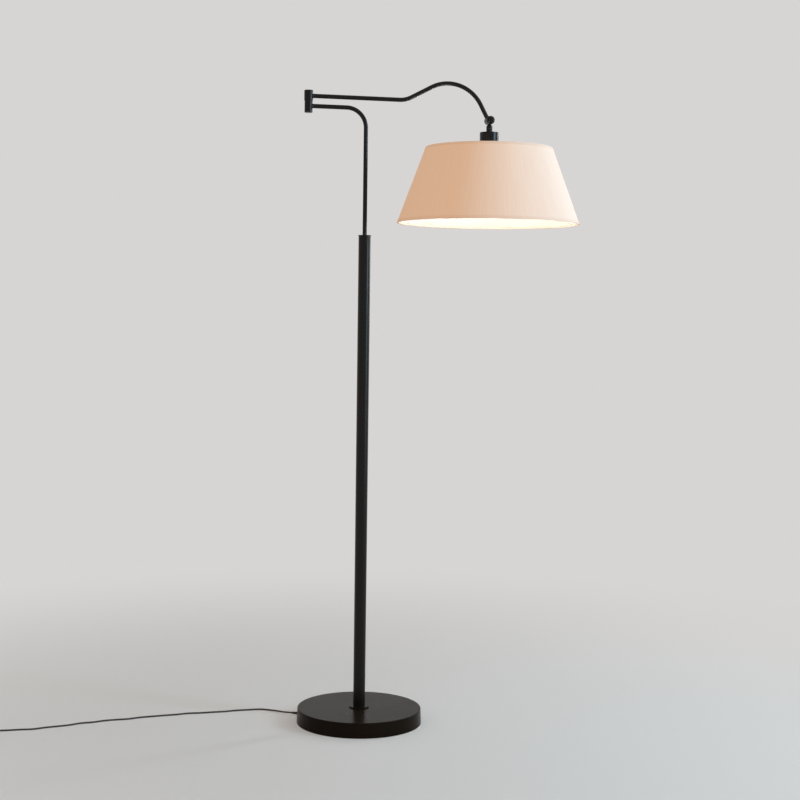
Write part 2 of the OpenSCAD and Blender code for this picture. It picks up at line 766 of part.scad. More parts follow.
module base_pad() {
    color(felt) bar(2 * (base_top_radius - cover_wall - pad_inset), 0, pad_thickness);
}

module foot_collar() {
    color(bronze) difference() {
        union() {
            bar(collar_diameter, base_height, pole_bottom - collar_chamfer);
            translate([0, 0, pole_bottom - collar_chamfer]) cylinder(
                d1 = collar_diameter, d2 = collar_diameter - 2 * collar_chamfer, h = collar_chamfer
            );
        }
        bar(nipple_diameter + 2 * seat, base_height - over, pole_bottom + over);
    }
}

module foot_nipple() {
    color(steel) pipe(nipple_diameter, nipple_bore, nipple_bottom, pole_bottom + nipple_reach);
}

module foot_washer() {
    color(steel) pipe(washer_diameter, nipple_diameter + 2 * seat, washer_bottom, weight_bottom);
}

module foot_nut() {
    color(steel) difference() {
        hexagon(foot_nut_width, foot_nut_bottom, washer_bottom);
        bar(nipple_diameter + 2 * seat, foot_nut_bottom - over, washer_bottom + over);
    }
}

module pole_plug() {
    color(steel) pipe(
        pole_bore - 2 * seat, nipple_diameter + 2 * seat, pole_bottom, pole_bottom + plug_length
    );
}

module pole_tube() {
    color(bronze) pipe(pole_diameter, pole_bore, pole_bottom, pole_length_top);
}

module pole_cap() {
    color(bronze) difference() {
        union() {
            bar(cap_diameter, pole_length_top, pole_top);
            bar(pole_bore - 2 * seat, cap_bottom, pole_length_top);
        }
        bar(bush_diameter + 2 * running, cap_bottom - over, pole_top + over);
        bar(
            bush_flange + 2 * running,
            pole_top - bush_flange_thickness - seat, pole_top + over
        );
    }
}

// The inner cord runs over the bottom plate, turns up into the nipple and hangs up the pole
module pole_cord() {
    color(black) union() {
        rotate([0, 0, inlet_angle]) {
            translate([cord_bend, 0, plate_cord_height])
                rotate([0, 90, 0]) cylinder(d = inner_cord_diameter, h = inlet_start - cord_bend);
            translate([cord_bend, 0, nipple_bottom])
                rotate([90, 0, 0])
                    rotate([0, 0, 180])
                        rotate_extrude(angle = 90)
                            translate([cord_bend, 0]) circle(d = inner_cord_diameter);
        }
        bar(inner_cord_diameter, nipple_bottom, pole_cord_top);
    }
}

module strain_relief() {
    color(black) difference() {
        union() {
            inlet_bar(relief_diameter, relief_tip, wall_outside + seat, relief_end);
            inlet_bar(relief_neck, relief_neck, wall_inside - seat, wall_outside + seat);
            inlet_bar(
                relief_diameter, relief_diameter,
                wall_inside - seat - relief_flange, wall_inside - seat
            );
        }
        inlet_bar(
            cord_diameter + 2 * running, cord_diameter + 2 * running,
            wall_inside - relief_flange - over, relief_end + over
        );
    }
}

module cord_lead() {
    color(black) cord_along(cord_route, lead_steps, cord_radius, lead_sides, inlet_direction, [-1, 0, 0]);
}

module cord_coil() {
    color(black) swept_tube(coil_points, coil_forwards, cord_radius, coil_sides);
}

module cord_tie() {
    inside_width = coil_pitch * coil_turns_per_layer + cord_diameter + 2 * tie_clearance;
    outside_width = inside_width + 2 * tie_thickness;
    inside_bottom = coil_base - cord_radius - tie_clearance;
    inside_top = coil_top + cord_radius + tie_clearance;
    color(nylon)
        translate([coil_centre[0], coil_centre[1], 0])
            rotate([0, 0, tie_angle])
                translate([coil_radius, 0, 0])
                    difference() {
                        translate([-outside_width / 2, -tie_width / 2, inside_bottom - tie_thickness])
                            cube([outside_width, tie_width, inside_top - inside_bottom + 2 * tie_thickness]);
                        translate([-inside_width / 2, -tie_width, inside_bottom])
                            cube([inside_width, 2 * tie_width, inside_top - inside_bottom]);
                    }
}

module cord_tail() {
    color(black) cord_along(tail_route, lead_steps, cord_radius, lead_sides, [0, -1, 0], [0, -1, 0]);
}

// What follows moves to the plug, with its back at the origin and its blades toward -Y
module at_plug() {
    translate([plug_back[0], plug_back[1], 0]) children();
}

module plug_body() {
    color(black) at_plug() difference() {
        intersection() {
            translate([-plug_width / 2, -plug_body_length, 0])
                cube([plug_width, plug_body_length, plug_thickness]);
            union() {
                translate([0, -plug_crown, 0]) cylinder(r = plug_crown, h = plug_thickness);
                translate([-plug_width / 2, -plug_body_length, 0])
                    cube([plug_width, plug_body_length - plug_crown, plug_thickness]);
            }
        }
        for (side = [-1, 1])
            blade_slot(side, side < 0 ? narrow_blade : wide_blade);
    }
}

module blade_slot(side, width) {
    translate([
        side * blade_spacing / 2 - blade_thickness / 2 - seat,
        -plug_body_length - over,
        plug_middle - width / 2 - seat
    ]) cube([blade_thickness + 2 * seat, blade_root + over, width + 2 * seat]);
}

module plug_blade(side, width) {
    color(brass) at_plug() translate([
        side * blade_spacing / 2 - blade_thickness / 2,
        -plug_body_length - blade_length,
        plug_middle - width / 2
    ]) difference() {
        cube([blade_thickness, blade_length + blade_root, width]);
        translate([-over, blade_hole_place, width / 2])
            rotate([0, 90, 0]) cylinder(d = blade_hole, h = blade_thickness + 2 * over);
    }
}

// Bush

module riser_bush() {
    color(nylon) difference() {
        union() {
            bar(bush_diameter, bush_bottom, pole_top);
            bar(bush_flange, pole_top - bush_flange_thickness, pole_top);
        }
        bar(tube_diameter + 2 * running, bush_bottom - over, pole_top + over);
        difference() {
            bar(bush_diameter + over, clip_top - clip_thickness - seat, clip_top + seat);
            bar(
                bush_diameter - 2 * clip_depth,
                clip_top - clip_thickness - over, clip_top + over
            );
        }
    }
}

module bush_clip() {
    color(steel) difference() {
        pipe(clip_diameter, bush_diameter - 2 * clip_depth + 2 * seat, clip_top - clip_thickness, clip_top);
        translate([0, 0, clip_top - clip_thickness - over])
            linear_extrude(clip_thickness + 2 * over)
                polygon([
                    [0, 0], [clip_diameter, -clip_diameter * tan(clip_opening / 2)],
                    [clip_diameter, clip_diameter * tan(clip_opening / 2)]
                ]);
    }
}

// Riser

// The riser's path: up the pole, over the bend and along the lower arm to its end
module riser_path(diameter, bottom, end, reach) {
    bar(diameter, bottom - reach, riser_bend_height + bend_overlap);
    bend([-riser_bend, riser_bend_height], riser_bend, 0, 90, diameter);
    translate([-riser_bend + bend_overlap, 0, lower_arm_height]) rotate([0, -90, 0]) cylinder(
        d = diameter, h = bend_overlap + barrel_offset - riser_bend - end + reach
    );
}

module riser_tube() {
    color(bronze) difference() {
        riser_path(tube_diameter, riser_bottom, lower_tube_end, 0);
        riser_path(tube_bore, riser_bottom, lower_tube_end, over);
    }
}

module riser_guide() {
    color(nylon) pipe(
        pole_bore - 2 * guide_clearance, tube_diameter + 2 * seat,
        guide_bottom, guide_bottom + guide_length
    );
}

module riser_stop() {
    color(steel) pipe(stop_diameter, tube_diameter + 2 * seat, stop_top - stop_height, stop_top);
}

module knuckle_outside(diameter, bottom, top, lower_chamfer, upper_chamfer) {
    on_barrel() union() {
        if (lower_chamfer > 0)
            translate([0, 0, bottom])
                cylinder(d1 = diameter - 2 * lower_chamfer, d2 = diameter, h = lower_chamfer);
        bar(diameter, bottom + lower_chamfer, top - upper_chamfer);
        if (upper_chamfer > 0)
            translate([0, 0, top - upper_chamfer])
                cylinder(d1 = diameter, d2 = diameter - 2 * upper_chamfer, h = upper_chamfer);
    }
}

module lower_knuckle() {
    color(bronze) difference() {
        knuckle_outside(lower_knuckle_diameter, lower_knuckle_bottom, lower_knuckle_top, knuckle_chamfer, 0);
        on_barrel() bar(lower_chamber, lower_knuckle_bottom - over, lower_chamber_top);
        on_barrel() bar(sleeve_diameter + 2 * seat, lower_chamber_top - over, lower_knuckle_top + over);
        barrel_side_bar(tube_diameter + 2 * seat, lower_arm_height, 0, lower_knuckle_diameter);
    }
}

module lower_cap() {
    color(bronze) on_barrel() bar(
        lower_chamber - 2 * seat,
        lower_knuckle_bottom + cap_recess, lower_knuckle_bottom + cap_recess + end_cap_thickness
    );
}

module pivot_sleeve() {
    color(steel) on_barrel() difference() {
        union() {
            bar(sleeve_diameter, sleeve_bottom, sleeve_top);
            bar(sleeve_head, sleeve_head_bottom, sleeve_top);
        }
        bar(sleeve_bore, sleeve_bottom - over, sleeve_top + over);
    }
}

module pivot_nut() {
    color(steel) on_barrel() pipe(
        sleeve_head, sleeve_diameter + 2 * seat, sleeve_bottom, lower_chamber_top
    );
}

module spring_washer() {
    color(steel) on_barrel() pipe(
        sleeve_head, sleeve_diameter + 2 * running, upper_chamber_bottom, sleeve_head_bottom
    );
}

module knuckle_washer() {
    color(nylon) on_barrel() pipe(
        lower_knuckle_diameter - 2 * knuckle_washer_inset, sleeve_diameter + 2 * running,
        lower_knuckle_top, upper_knuckle_bottom
    );
}

// The inner cord follows the riser and turns up into the pivot sleeve
module riser_cord() {
    turn = barrel_split - riser_cord_room - lower_arm_height;
    color(black) union() {
        riser_path(inner_cord_diameter, riser_bottom - riser_cord_end, turn, bend_overlap);
        bend([turn - barrel_offset, lower_arm_height + turn], turn, 180, 90, inner_cord_diameter);
        on_barrel() bar(
            inner_cord_diameter, lower_arm_height + turn - bend_overlap, barrel_split - cord_end_gap
        );
    }
}

// Arm

module upper_knuckle() {
    color(bronze) difference() {
        knuckle_outside(upper_knuckle_diameter, upper_knuckle_bottom, upper_knuckle_top, 0, knuckle_chamfer);
        on_barrel() bar(upper_chamber, upper_chamber_bottom, upper_knuckle_top + over);
        on_barrel() bar(
            sleeve_diameter + 2 * running, upper_knuckle_bottom - over, upper_chamber_bottom + over
        );
        barrel_side_bar(tube_diameter + 2 * seat, upper_arm_height, 0, upper_knuckle_diameter);
    }
}

module upper_cap() {
    color(bronze) on_barrel() bar(
        upper_chamber - 2 * seat,
        upper_knuckle_top - cap_recess - end_cap_thickness, upper_knuckle_top - cap_recess
    );
}

// The upper arm's path: level, up through the dip, over the crest and down the tail
module arm_path(diameter, start, stop_short, reach) {
    translate([start - barrel_offset, 0, upper_arm_height])
        leg(dip_start - start + barrel_offset, diameter, reach, bend_overlap)
            bend_up(dip_radius, rise_angle, diameter)
                leg(climb_length, diameter, bend_overlap, bend_overlap)
                    bend_down(crest_radius, rise_angle + fall_angle, diameter)
                        leg(tail_length - stop_short, diameter, bend_overlap, reach);
}

module upper_arm() {
    color(bronze) difference() {
        arm_path(tube_diameter, upper_tube_end, neck_end, 0);
        arm_path(tube_bore, upper_tube_end, neck_end, over);
    }
}

// A bar that leaves the tilt axis up the arm's tail, between two distances
module tail_bar(diameter, start, end) {
    translate([tilt_offset, 0, tilt_height])
        rotate([0, fall_angle - 90, 0])
            translate([0, 0, start]) cylinder(d = diameter, h = end - start);
}

// The ring-shaped room around the hub of a disc
module disc_chamber(front, back) {
    difference() {
        tilt_bar(2 * chamber_radius, front, back);
        tilt_bar(hub_diameter, front - over, back + over);
    }
}

module arm_disc() {
    color(bronze) difference() {
        union() {
            tilt_bar(disc_diameter, arm_disc_front, arm_disc_back);
            intersection() {
                tail_bar(tube_diameter, 0, neck_start);
                tilt_bar(3 * disc_diameter, arm_disc_front, arm_disc_back);
            }
            tail_bar(tube_diameter, neck_start, neck_end);
            tail_bar(tube_bore - 2 * seat, neck_end, neck_end + arm_spigot);
        }
        disc_chamber(arm_disc_front - over, arm_disc_back - disc_back);
        tilt_bar(tilt_screw_diameter + 2 * seat, arm_disc_front - over, arm_disc_back + over);
        tail_bar(cord_bore, hub_diameter / 2 + hub_gap, neck_end + arm_spigot + over);
    }
}

module tilt_washer() {
    color(nylon) difference() {
        tilt_bar(disc_diameter, head_disc_back, arm_disc_front);
        tilt_bar(2 * chamber_radius, head_disc_back - over, arm_disc_front + over);
    }
}

module tilt_screw() {
    color(steel) tilt_bar(tilt_screw_diameter, knob_back - screw_reach, arm_disc_back + nut_reach);
}

module tilt_nut() {
    dome = domed_nut_diameter / 2;
    dome_centre = arm_disc_back + domed_nut_length - dome;
    color(bronze) difference() {
        intersection() {
            union() {
                tilt_bar(domed_nut_diameter, arm_disc_back, max(dome_centre, arm_disc_back + nut_rim));
                translate([tilt_offset, dome_centre, tilt_height]) sphere(r = dome);
            }
            tilt_bar(2 * domed_nut_diameter, arm_disc_back, arm_disc_back + domed_nut_length);
        }
        tilt_bar(tilt_screw_diameter + 2 * seat, arm_disc_back - over, arm_disc_back + nut_reach + seat);
    }
}

// The inner cord comes out of the sleeve, follows the arm and ends in the disc's room
module arm_cord() {
    turn = upper_arm_height - sleeve_top;
    color(black) union() {
        on_barrel() bar(inner_cord_diameter, barrel_split + cord_end_gap, sleeve_top + bend_overlap);
        bend([turn - barrel_offset, sleeve_top], turn, 90, 90, inner_cord_diameter);
        arm_path(inner_cord_diameter, turn, cord_path_radius + bend_overlap, bend_overlap);
    }
}

// Head

module shade_disc() {
    stem_top = tilt_height - stem_sink;
    color(bronze) difference() {
        union() {
            tilt_bar(disc_diameter, head_disc_front, head_disc_back);
            difference() {
                on_shade() bar(stem_diameter, cup_top, stem_top);
                tilt_bar(disc_diameter + 2 * stem_clearance, head_disc_back, arm_disc_back);
                tilt_bar(knob_diameter + 2 * stem_clearance, knob_front, head_disc_front);
            }
            on_shade() bar(spigot_diameter, cup_top - spigot_length, cup_top);
        }
        disc_chamber(head_disc_front + disc_back, head_disc_back + over);
        tilt_bar(tilt_screw_diameter + 2 * running, head_disc_front - over, head_disc_back + over);
        on_shade() bar(stem_bore, cup_top - spigot_length - over, tilt_height - hub_diameter / 2 - hub_gap);
    }
}

module socket_cap() {
    color(bronze) on_shade() difference() {
        bar(cup_diameter, cup_bottom, cup_top);
        bar(cup_diameter - 2 * cup_wall, cup_bottom - over, cup_top - cup_wall);
        bar(spigot_diameter + 2 * seat, cup_bottom, cup_top + over);
    }
}

module socket_nut() {
    color(steel) on_shade() difference() {
        hexagon(socket_nut_width, socket_nut_top - socket_nut_height, socket_nut_top);
        bar(spigot_diameter + 2 * seat, socket_nut_top - socket_nut_height - over, socket_nut_top + over);
    }
}

// What follows turns about the axis of the switch, which points along +X from the socket's axis
module on_switch() {
    on_shade() translate([0, 0, switch_height]) rotate([0, 90, 0]) children();
}

module socket_body() {
    color(black) difference() {
        on_shade() union() {
            bar(socket_hub, socket_body_top, socket_hub_top);
            bar(socket_diameter, socket_mouth, socket_body_top);
            bar(shoulder_diameter, cup_bottom, cup_bottom + shoulder_thickness);
        }
        on_shade() bar(socket_cavity, socket_mouth - over, cavity_top);
        on_shade() bar(
            spigot_diameter + 2 * seat, cup_top - spigot_length - spigot_end_gap, socket_hub_top + over
        );
        on_switch() bar(switch_bushing_diameter + 2 * seat, switch_bushing_start, socket_diameter);
    }
}

module screw_shell() {
    color(brass) on_shade() pipe(shell_outer, shell_outer - 2 * shell_wall, shell_bottom, shell_top);
}

module centre_contact() {
    color(brass) on_shade() bar(contact_diameter, bulb_contact_top, cavity_top);
}

module switch_bushing() {
    color(brass) on_switch() pipe(
        switch_bushing_diameter, switch_shaft + 2 * running, switch_bushing_start + seat, switch_bushing_end
    );
}

module ring_nut() {
    color(black) on_shade() pipe(ring_nut_diameter, ring_nut_bore, ring_nut_bottom, spider_bottom);
}

// The spider's round arms slope down from its hub plate to the top ring
module spider_bars(diameter) {
    arm_start = spider_diameter / 2 - spider_weld;
    arm_end = top_wire[0] - wire_diameter / 2 - seat;
    drop = spider_plate_middle - top_wire[1];
    run = arm_end - arm_start;
    for (i = [0 : spider_arms - 1])
        rotate([0, 0, 90 + i * 360 / spider_arms])
            translate([arm_start, 0, spider_plate_middle])
                rotate([0, 90 + atan(drop / run), 0])
                    cylinder(d = diameter, h = sqrt(run * run + drop * drop));
}

module shade_spider() {
    color(steel) on_shade() union() {
        pipe(spider_diameter, ring_nut_bore, spider_bottom, spider_top);
        spider_bars(wire_diameter);
    }
}

// The wire ring under the shade's top edge, joined to the spider's arms by its weld
module top_ring() {
    color(steel) on_shade() wire_ring(top_wire);
}

module bottom_ring() {
    color(steel) on_shade() wire_ring(bottom_wire);
}

module wire_ring(place) {
    rotate_extrude() translate(place) circle(d = wire_diameter);
}

// A band of the shade between two distances along its slope and two depths
module shade_band(from, to, outside, inside) {
    rotate_extrude() polygon([
        shade_point(from, outside), shade_point(to, outside),
        shade_point(to, inside), shade_point(from, inside)
    ]);
}

module shade_liner() {
    color(white) on_shade() shade_band(cover_inset, shade_length - cover_inset, linen_depth, liner_depth);
}

module shade_cover() {
    color(linen) on_shade() shade_band(cover_inset, shade_length - cover_inset, cover_depth, linen_depth);
}

// A hem folds round the linen, the liner and the wire ring, with a level edge
module hem(from, to, edge_bottom, edge_top) {
    rotate_extrude() intersection() {
        translate([0, shade_bottom]) square([2 * shade_bottom_radius, shade_height]);
        union() {
            polygon([
                shade_point(from, 0), shade_point(to, 0),
                shade_point(to, hem_thickness), shade_point(from, hem_thickness)
            ]);
            polygon([
                shade_point(from, hem_depth), shade_point(to, hem_depth),
                shade_point(to, hem_depth + hem_thickness), shade_point(from, hem_depth + hem_thickness)
            ]);
            intersection() {
                polygon([
                    shade_point(from, 0), shade_point(to, 0),
                    shade_point(to, hem_depth + hem_thickness), shade_point(from, hem_depth + hem_thickness)
                ]);
                translate([0, edge_bottom]) square([2 * shade_bottom_radius, edge_top - edge_bottom]);
            }
        }
    }
}

module bottom_hem() {
    color(linen) on_shade() hem(-hem_width, hem_width, shade_bottom, shade_bottom + hem_thickness);
}

// The top hem is notched inside where the spider's arms come in
module top_hem() {
    color(linen) on_shade() difference() {
        hem(shade_length - hem_width, shade_length + hem_width, shade_top - hem_thickness, shade_top);
        spider_bars(wire_diameter + 2 * notch_clearance);
    }
}

// The outside of the bulb's glass, drawn in by a depth
module bulb_form(depth) {
    on_shade() union() {
        translate([0, 0, bulb_centre]) sphere(r = bulb_radius - depth);
        translate([0, 0, bulb_tangent_height - depth * sin(bulb_slope)]) cylinder(
            r1 = bulb_tangent_radius - depth * cos(bulb_slope),
            r2 = bulb_throat - depth,
            h = bulb_throat_height - bulb_tangent_height
        );
        translate([0, 0, bulb_throat_height - over]) cylinder(
            r = bulb_throat - depth - bulb_throat_inset, h = bulb_neck + depth - bulb_throat_height + over
        );
    }
}

module bulb_glass() {
    color(glass) difference() {
        bulb_form(0);
        bulb_form(bulb_wall);
    }
}

module bulb_base() {
    color(brass) on_shade() union() {
        difference() {
            bar(bulb_base_diameter, bulb_neck, bulb_base_top);
            bar(bulb_base_diameter - 2 * bulb_wall, bulb_neck - over, bulb_base_top - bulb_wall);
        }
        bar(bulb_contact_diameter, bulb_base_top, bulb_contact_top);
    }
}

// The inner cord starts in the disc's room, turns down into the stem and ends over the socket
module head_cord() {
    turn = head_disc_back - head_plane - cord_end_gap;
    turn_height = tilt_height - cord_path_radius;
    color(black) union() {
        translate([tilt_offset, head_plane, turn_height])
            translate([0, turn, -turn])
                rotate([90, 0, 90])
                    rotate([0, 0, 90])
                        rotate_extrude(angle = 90)
                            translate([turn, 0]) circle(d = inner_cord_diameter);
        on_shade() bar(inner_cord_diameter, cup_top - spigot_length, turn_height - turn);
    }
}

// Knob and switch

module tilt_knob() {
    color(bronze) difference() {
        translate([tilt_offset, knob_middle, tilt_height])
            rotate([90, 0, 0])
                rotate_extrude()
                    intersection() {
                        circle(d = knob_diameter);
                        translate([0, knob_middle - knob_back]) square([knob_diameter, knob_length]);
                    }
        tilt_bar(
            tilt_screw_diameter + 2 * running,
            knob_back - screw_reach - screw_end_gap, knob_back + over
        );
    }
}

module switch_knob() {
    color(black) on_switch() union() {
        bar(switch_shaft, switch_shaft_start, switch_knob_start + over);
        bar(switch_knob_diameter, switch_knob_start, switch_knob_start + switch_knob_length);
    }
}

base_cover();
base_weight();
base_plate();
base_pad();
foot_collar();
foot_nipple();
foot_washer();
foot_nut();
pole_plug();
pole_tube();
pole_cap();
pole_cord();
strain_relief();
cord_lead();
cord_coil();
cord_tie();
cord_tail();
plug_body();
plug_blade(-1, narrow_blade);  // narrow_plug_blade
plug_blade(1, wide_blade);  // wide_plug_blade
riser_bush();
bush_clip();
riser_tube();
riser_guide();
riser_stop();
lower_knuckle();
lower_cap();
pivot_sleeve();
pivot_nut();
spring_washer();
knuckle_washer();
riser_cord();
upper_knuckle();
upper_cap();
upper_arm();
arm_disc();
tilt_washer();
tilt_screw();
tilt_nut();
arm_cord();
shade_disc();
socket_cap();
socket_nut();
socket_body();
screw_shell();
centre_contact();
switch_bushing();
ring_nut();
shade_spider();
top_ring();
bottom_ring();
shade_liner();
shade_cover();
top_hem();
bottom_hem();
bulb_glass();
bulb_base();
head_cord();
tilt_knob();
switch_knob();
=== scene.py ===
# %% [markdown]
# A swing arm floor lamp, dressed over its CAD frame. The frame gives every piece its place, so this
# script only adds what CAD leaves out: rounded edges, cloth, a cord that lies loose, and the finishes.
# All sizes are in metres, +Z is up, +X points along the arm toward the shade, and +Y to the back.

# %% Load the frame
import json
import math

import bmesh
import bpy
from mathutils import Matrix, Vector


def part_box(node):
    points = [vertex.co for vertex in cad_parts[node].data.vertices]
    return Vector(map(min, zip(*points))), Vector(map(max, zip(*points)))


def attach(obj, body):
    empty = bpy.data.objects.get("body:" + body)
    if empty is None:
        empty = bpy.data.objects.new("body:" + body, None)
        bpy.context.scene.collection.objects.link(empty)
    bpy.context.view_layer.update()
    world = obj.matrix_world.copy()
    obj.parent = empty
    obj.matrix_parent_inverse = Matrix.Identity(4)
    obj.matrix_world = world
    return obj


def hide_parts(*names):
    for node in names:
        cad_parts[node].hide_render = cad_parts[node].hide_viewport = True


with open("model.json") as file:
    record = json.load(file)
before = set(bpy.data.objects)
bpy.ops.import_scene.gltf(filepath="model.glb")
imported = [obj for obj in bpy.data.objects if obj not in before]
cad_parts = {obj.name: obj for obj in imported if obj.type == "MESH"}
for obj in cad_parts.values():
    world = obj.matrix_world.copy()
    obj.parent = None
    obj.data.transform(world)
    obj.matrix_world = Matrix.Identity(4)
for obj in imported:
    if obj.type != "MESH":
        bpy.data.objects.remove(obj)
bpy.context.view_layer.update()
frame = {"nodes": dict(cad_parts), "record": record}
record = frame["record"]
slot_of = {part["node"]: part["material_slot"] for part in record["subparts"]}
body_of = {node: body for body, nodes in record["behaviour"]["bodies"].items() for node in nodes}


def radius_of(node):
    """Half a piece's width along X, which is the outer radius of a piece that is round there."""
    low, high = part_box(node)
    return (high.x - low.x) / 2


def new_object(name, data):
    """A new object at the origin, linked to the scene."""
    made = bpy.data.objects.new(name, data)
    bpy.context.scene.collection.objects.link(made)
    return made


# %% [markdown]
# The camera comes first, because the cord's coil has to lie outside its view. A camera is three
# directions and a place: the columns of its matrix are its right, its up and its back. The lens is a
# long one, so the base and the shade show as flat ellipses.

# %% Camera
camera_place = Vector((-0.67687, -3.43473, 0.96073))
camera_forward = Vector((0.21728, 0.97443, -0.05725)).normalized()
camera_up_hint = Vector((-0.00066, 0.05880, 0.99827))

camera_right = camera_forward.cross(camera_up_hint).normalized()
camera_up = camera_right.cross(camera_forward)
camera_data = bpy.data.cameras.new("camera")
camera_data.lens = 67.78
camera_data.sensor_width = 36.0
camera_data.clip_end = 50.0
camera = new_object("camera", camera_data)
camera_turn = Matrix((camera_right, camera_up, -camera_forward)).transposed().to_4x4()
camera.matrix_world = Matrix.Translation(camera_place) @ camera_turn
bpy.context.scene.camera = camera
print("camera looks down by", round(-math.degrees(math.asin(camera_forward.z)), 2), "degrees")

# %% [markdown]
# Finishes are procedural. An effect that several finishes share is a node group, built once and placed
# in each material with its own values. These helpers make a node with its settings and whatever feeds
# its inputs, which is a plain value or a link, and a group with its inputs and outputs.


# %% Helpers for nodes
def feed(tree, node, inputs):
    """Gives each input of a node a plain value, or a link from another node's output."""
    for key, value in inputs.items():
        if isinstance(value, bpy.types.NodeSocket):
            tree.links.new(value, node.inputs[key])
        else:
            node.inputs[key].default_value = value


def add_node(tree, kind, inputs=None, **settings):
    """A node with its settings, and whatever feeds its inputs."""
    made = tree.nodes.new(kind)
    for key, value in settings.items():
        setattr(made, key, value)
    feed(tree, made, inputs or {})
    return made


def new_group(kind, name, inputs, outputs):
    """A node group, and the two nodes at its ends."""
    tree = bpy.data.node_groups.new(name, kind)
    for label, socket_kind, value in inputs:
        made = tree.interface.new_socket(label, in_out="INPUT", socket_type="NodeSocket" + socket_kind)
        if value is not None:
            made.default_value = value
    for label, socket_kind in outputs:
        tree.interface.new_socket(label, in_out="OUTPUT", socket_type="NodeSocket" + socket_kind)
    return tree, tree.nodes.new("NodeGroupInput"), tree.nodes.new("NodeGroupOutput")


def math_node(tree, operation, first, second):
    return add_node(tree, "ShaderNodeMath", {0: first, 1: second}, operation=operation).outputs[0]


def mix_colour(tree, mask, first, second):
    colours = {"Factor": mask, "A": (*first, 1.0), "B": (*second, 1.0)}
    return add_node(tree, "ShaderNodeMix", colours, data_type="RGBA").outputs["Result"]


def spread(tree, mask, low, high):
    """Turns a noise mask, whose values lie round a half, into a value from low to high."""
    limits = {"Value": mask, "From Min": 0.3, "From Max": 0.7, "To Min": low, "To Max": high}
    return add_node(tree, "ShaderNodeMapRange", limits).outputs["Result"]


def bump(tree, height, distance):
    return add_node(tree, "ShaderNodeBump", {"Height": height, "Distance": distance}).outputs["Normal"]


def new_material(name):
    """A material, its node tree and its shader."""
    material = bpy.data.materials.new(name)
    material.use_nodes = True
    return material, material.node_tree, material.node_tree.nodes["Principled BSDF"]


# %% [markdown]
# Sprayed paint on metal isn't flat: it has a fine orange-peel ripple, and its gloss wanders a little
# from place to place where hands and dust have been. One group gives both, from Object coordinates, so
# the pattern stays on the piece when it moves.


# %% Shared effect: uneven satin
def make_satin_group():
    tree, inside, outside = new_group(
        "ShaderNodeTree", "uneven_satin",
        [("Coordinates", "Vector", None), ("Ripple scale", "Float", 900.0), ("Cloud scale", "Float", 14.0)],
        [("Ripple", "Float"), ("Cloud", "Float")],
    )
    for label, detail in (("Ripple", 2.0), ("Cloud", 5.0)):
        noise = add_node(tree, "ShaderNodeTexNoise", {
            "Vector": inside.outputs["Coordinates"], "Scale": inside.outputs[label + " scale"],
            "Detail": detail,
        })
        feed(tree, outside, {label: noise.outputs["Fac"]})
    return tree


satin_group = make_satin_group()


def satin_node(tree, ripple=900.0):
    place = add_node(tree, "ShaderNodeTexCoord")
    inputs = {"Coordinates": place.outputs["Object"], "Ripple scale": ripple}
    return add_node(tree, "ShaderNodeGroup", inputs, node_tree=satin_group)


def satin_material(name, dark, light, roughness, metallic=0.0, ripple=900.0, depth=0.00002, specular=0.5):
    """A finish with two near tones, a range of roughness and a fine ripple."""
    material, tree, shader = new_material(name)
    satin = satin_node(tree, ripple)
    feed(tree, shader, {
        "Base Color": mix_colour(tree, satin.outputs["Cloud"], dark, light),
        "Roughness": spread(tree, satin.outputs["Cloud"], *roughness),
        "Normal": bump(tree, satin.outputs["Ripple"], depth),
        "Metallic": metallic,
        "Specular IOR Level": specular,
    })
    material.diffuse_color = (*light, 1.0)
    return material


print("satin group nodes:", len(satin_group.nodes))

# %% Metal, plastic and felt finishes
finishes = {
    "bronze": satin_material(
        "bronze_black_paint", (0.004, 0.003, 0.0024), (0.006, 0.0046, 0.0036), (0.26, 0.32),
        ripple=600.0, depth=0.000002, specular=0.24,
    ),
    # The base takes dark bronze paint whose colour is made browner and lighter as a painted warm reflection.
    "base_paint": satin_material(
        "base_paint_with_painted_warm_reflection", (0.011, 0.0066, 0.0038), (0.016, 0.0096, 0.0056), (0.24, 0.3),
        ripple=1400.0, depth=0.000004, specular=0.05,
    ),
    "steel": satin_material(
        "zinc_plated_steel", (0.42, 0.42, 0.4), (0.56, 0.56, 0.55), (0.28, 0.42), 1.0, ripple=2500.0,
    ),
    "iron": satin_material(
        "raw_cast_iron", (0.05, 0.05, 0.052), (0.1, 0.098, 0.095), (0.6, 0.8), 0.4,
        ripple=500.0, depth=0.0002,
    ),
    "brass": satin_material(
        "plain_brass", (0.6, 0.4, 0.16), (0.74, 0.54, 0.26), (0.22, 0.38), 1.0, ripple=2200.0,
    ),
    "felt": satin_material(
        "black_felt", (0.012, 0.012, 0.012), (0.03, 0.03, 0.03), (0.9, 1.0), ripple=1800.0, depth=0.0004,
    ),
    "nylon": satin_material(
        "black_nylon", (0.012, 0.012, 0.012), (0.024, 0.023, 0.022), (0.45, 0.6), ripple=1500.0,
    ),
    "cord": satin_material(
        "cord_jacket", (0.03, 0.02, 0.016), (0.055, 0.038, 0.03), (0.5, 0.65), ripple=1600.0,
    ),
    "moulding": satin_material(
        "cord_moulding", (0.028, 0.019, 0.015), (0.05, 0.035, 0.028), (0.45, 0.6), ripple=1300.0,
    ),
    "phenolic": satin_material(
        "black_phenolic", (0.012, 0.012, 0.012), (0.022, 0.021, 0.02), (0.25, 0.4), ripple=1100.0,
    ),
    "liner": satin_material(
        "white_liner", (0.84, 0.82, 0.77), (0.88, 0.86, 0.82), (0.5, 0.6), ripple=700.0,
    ),
}
print("finishes:", sorted(finishes))

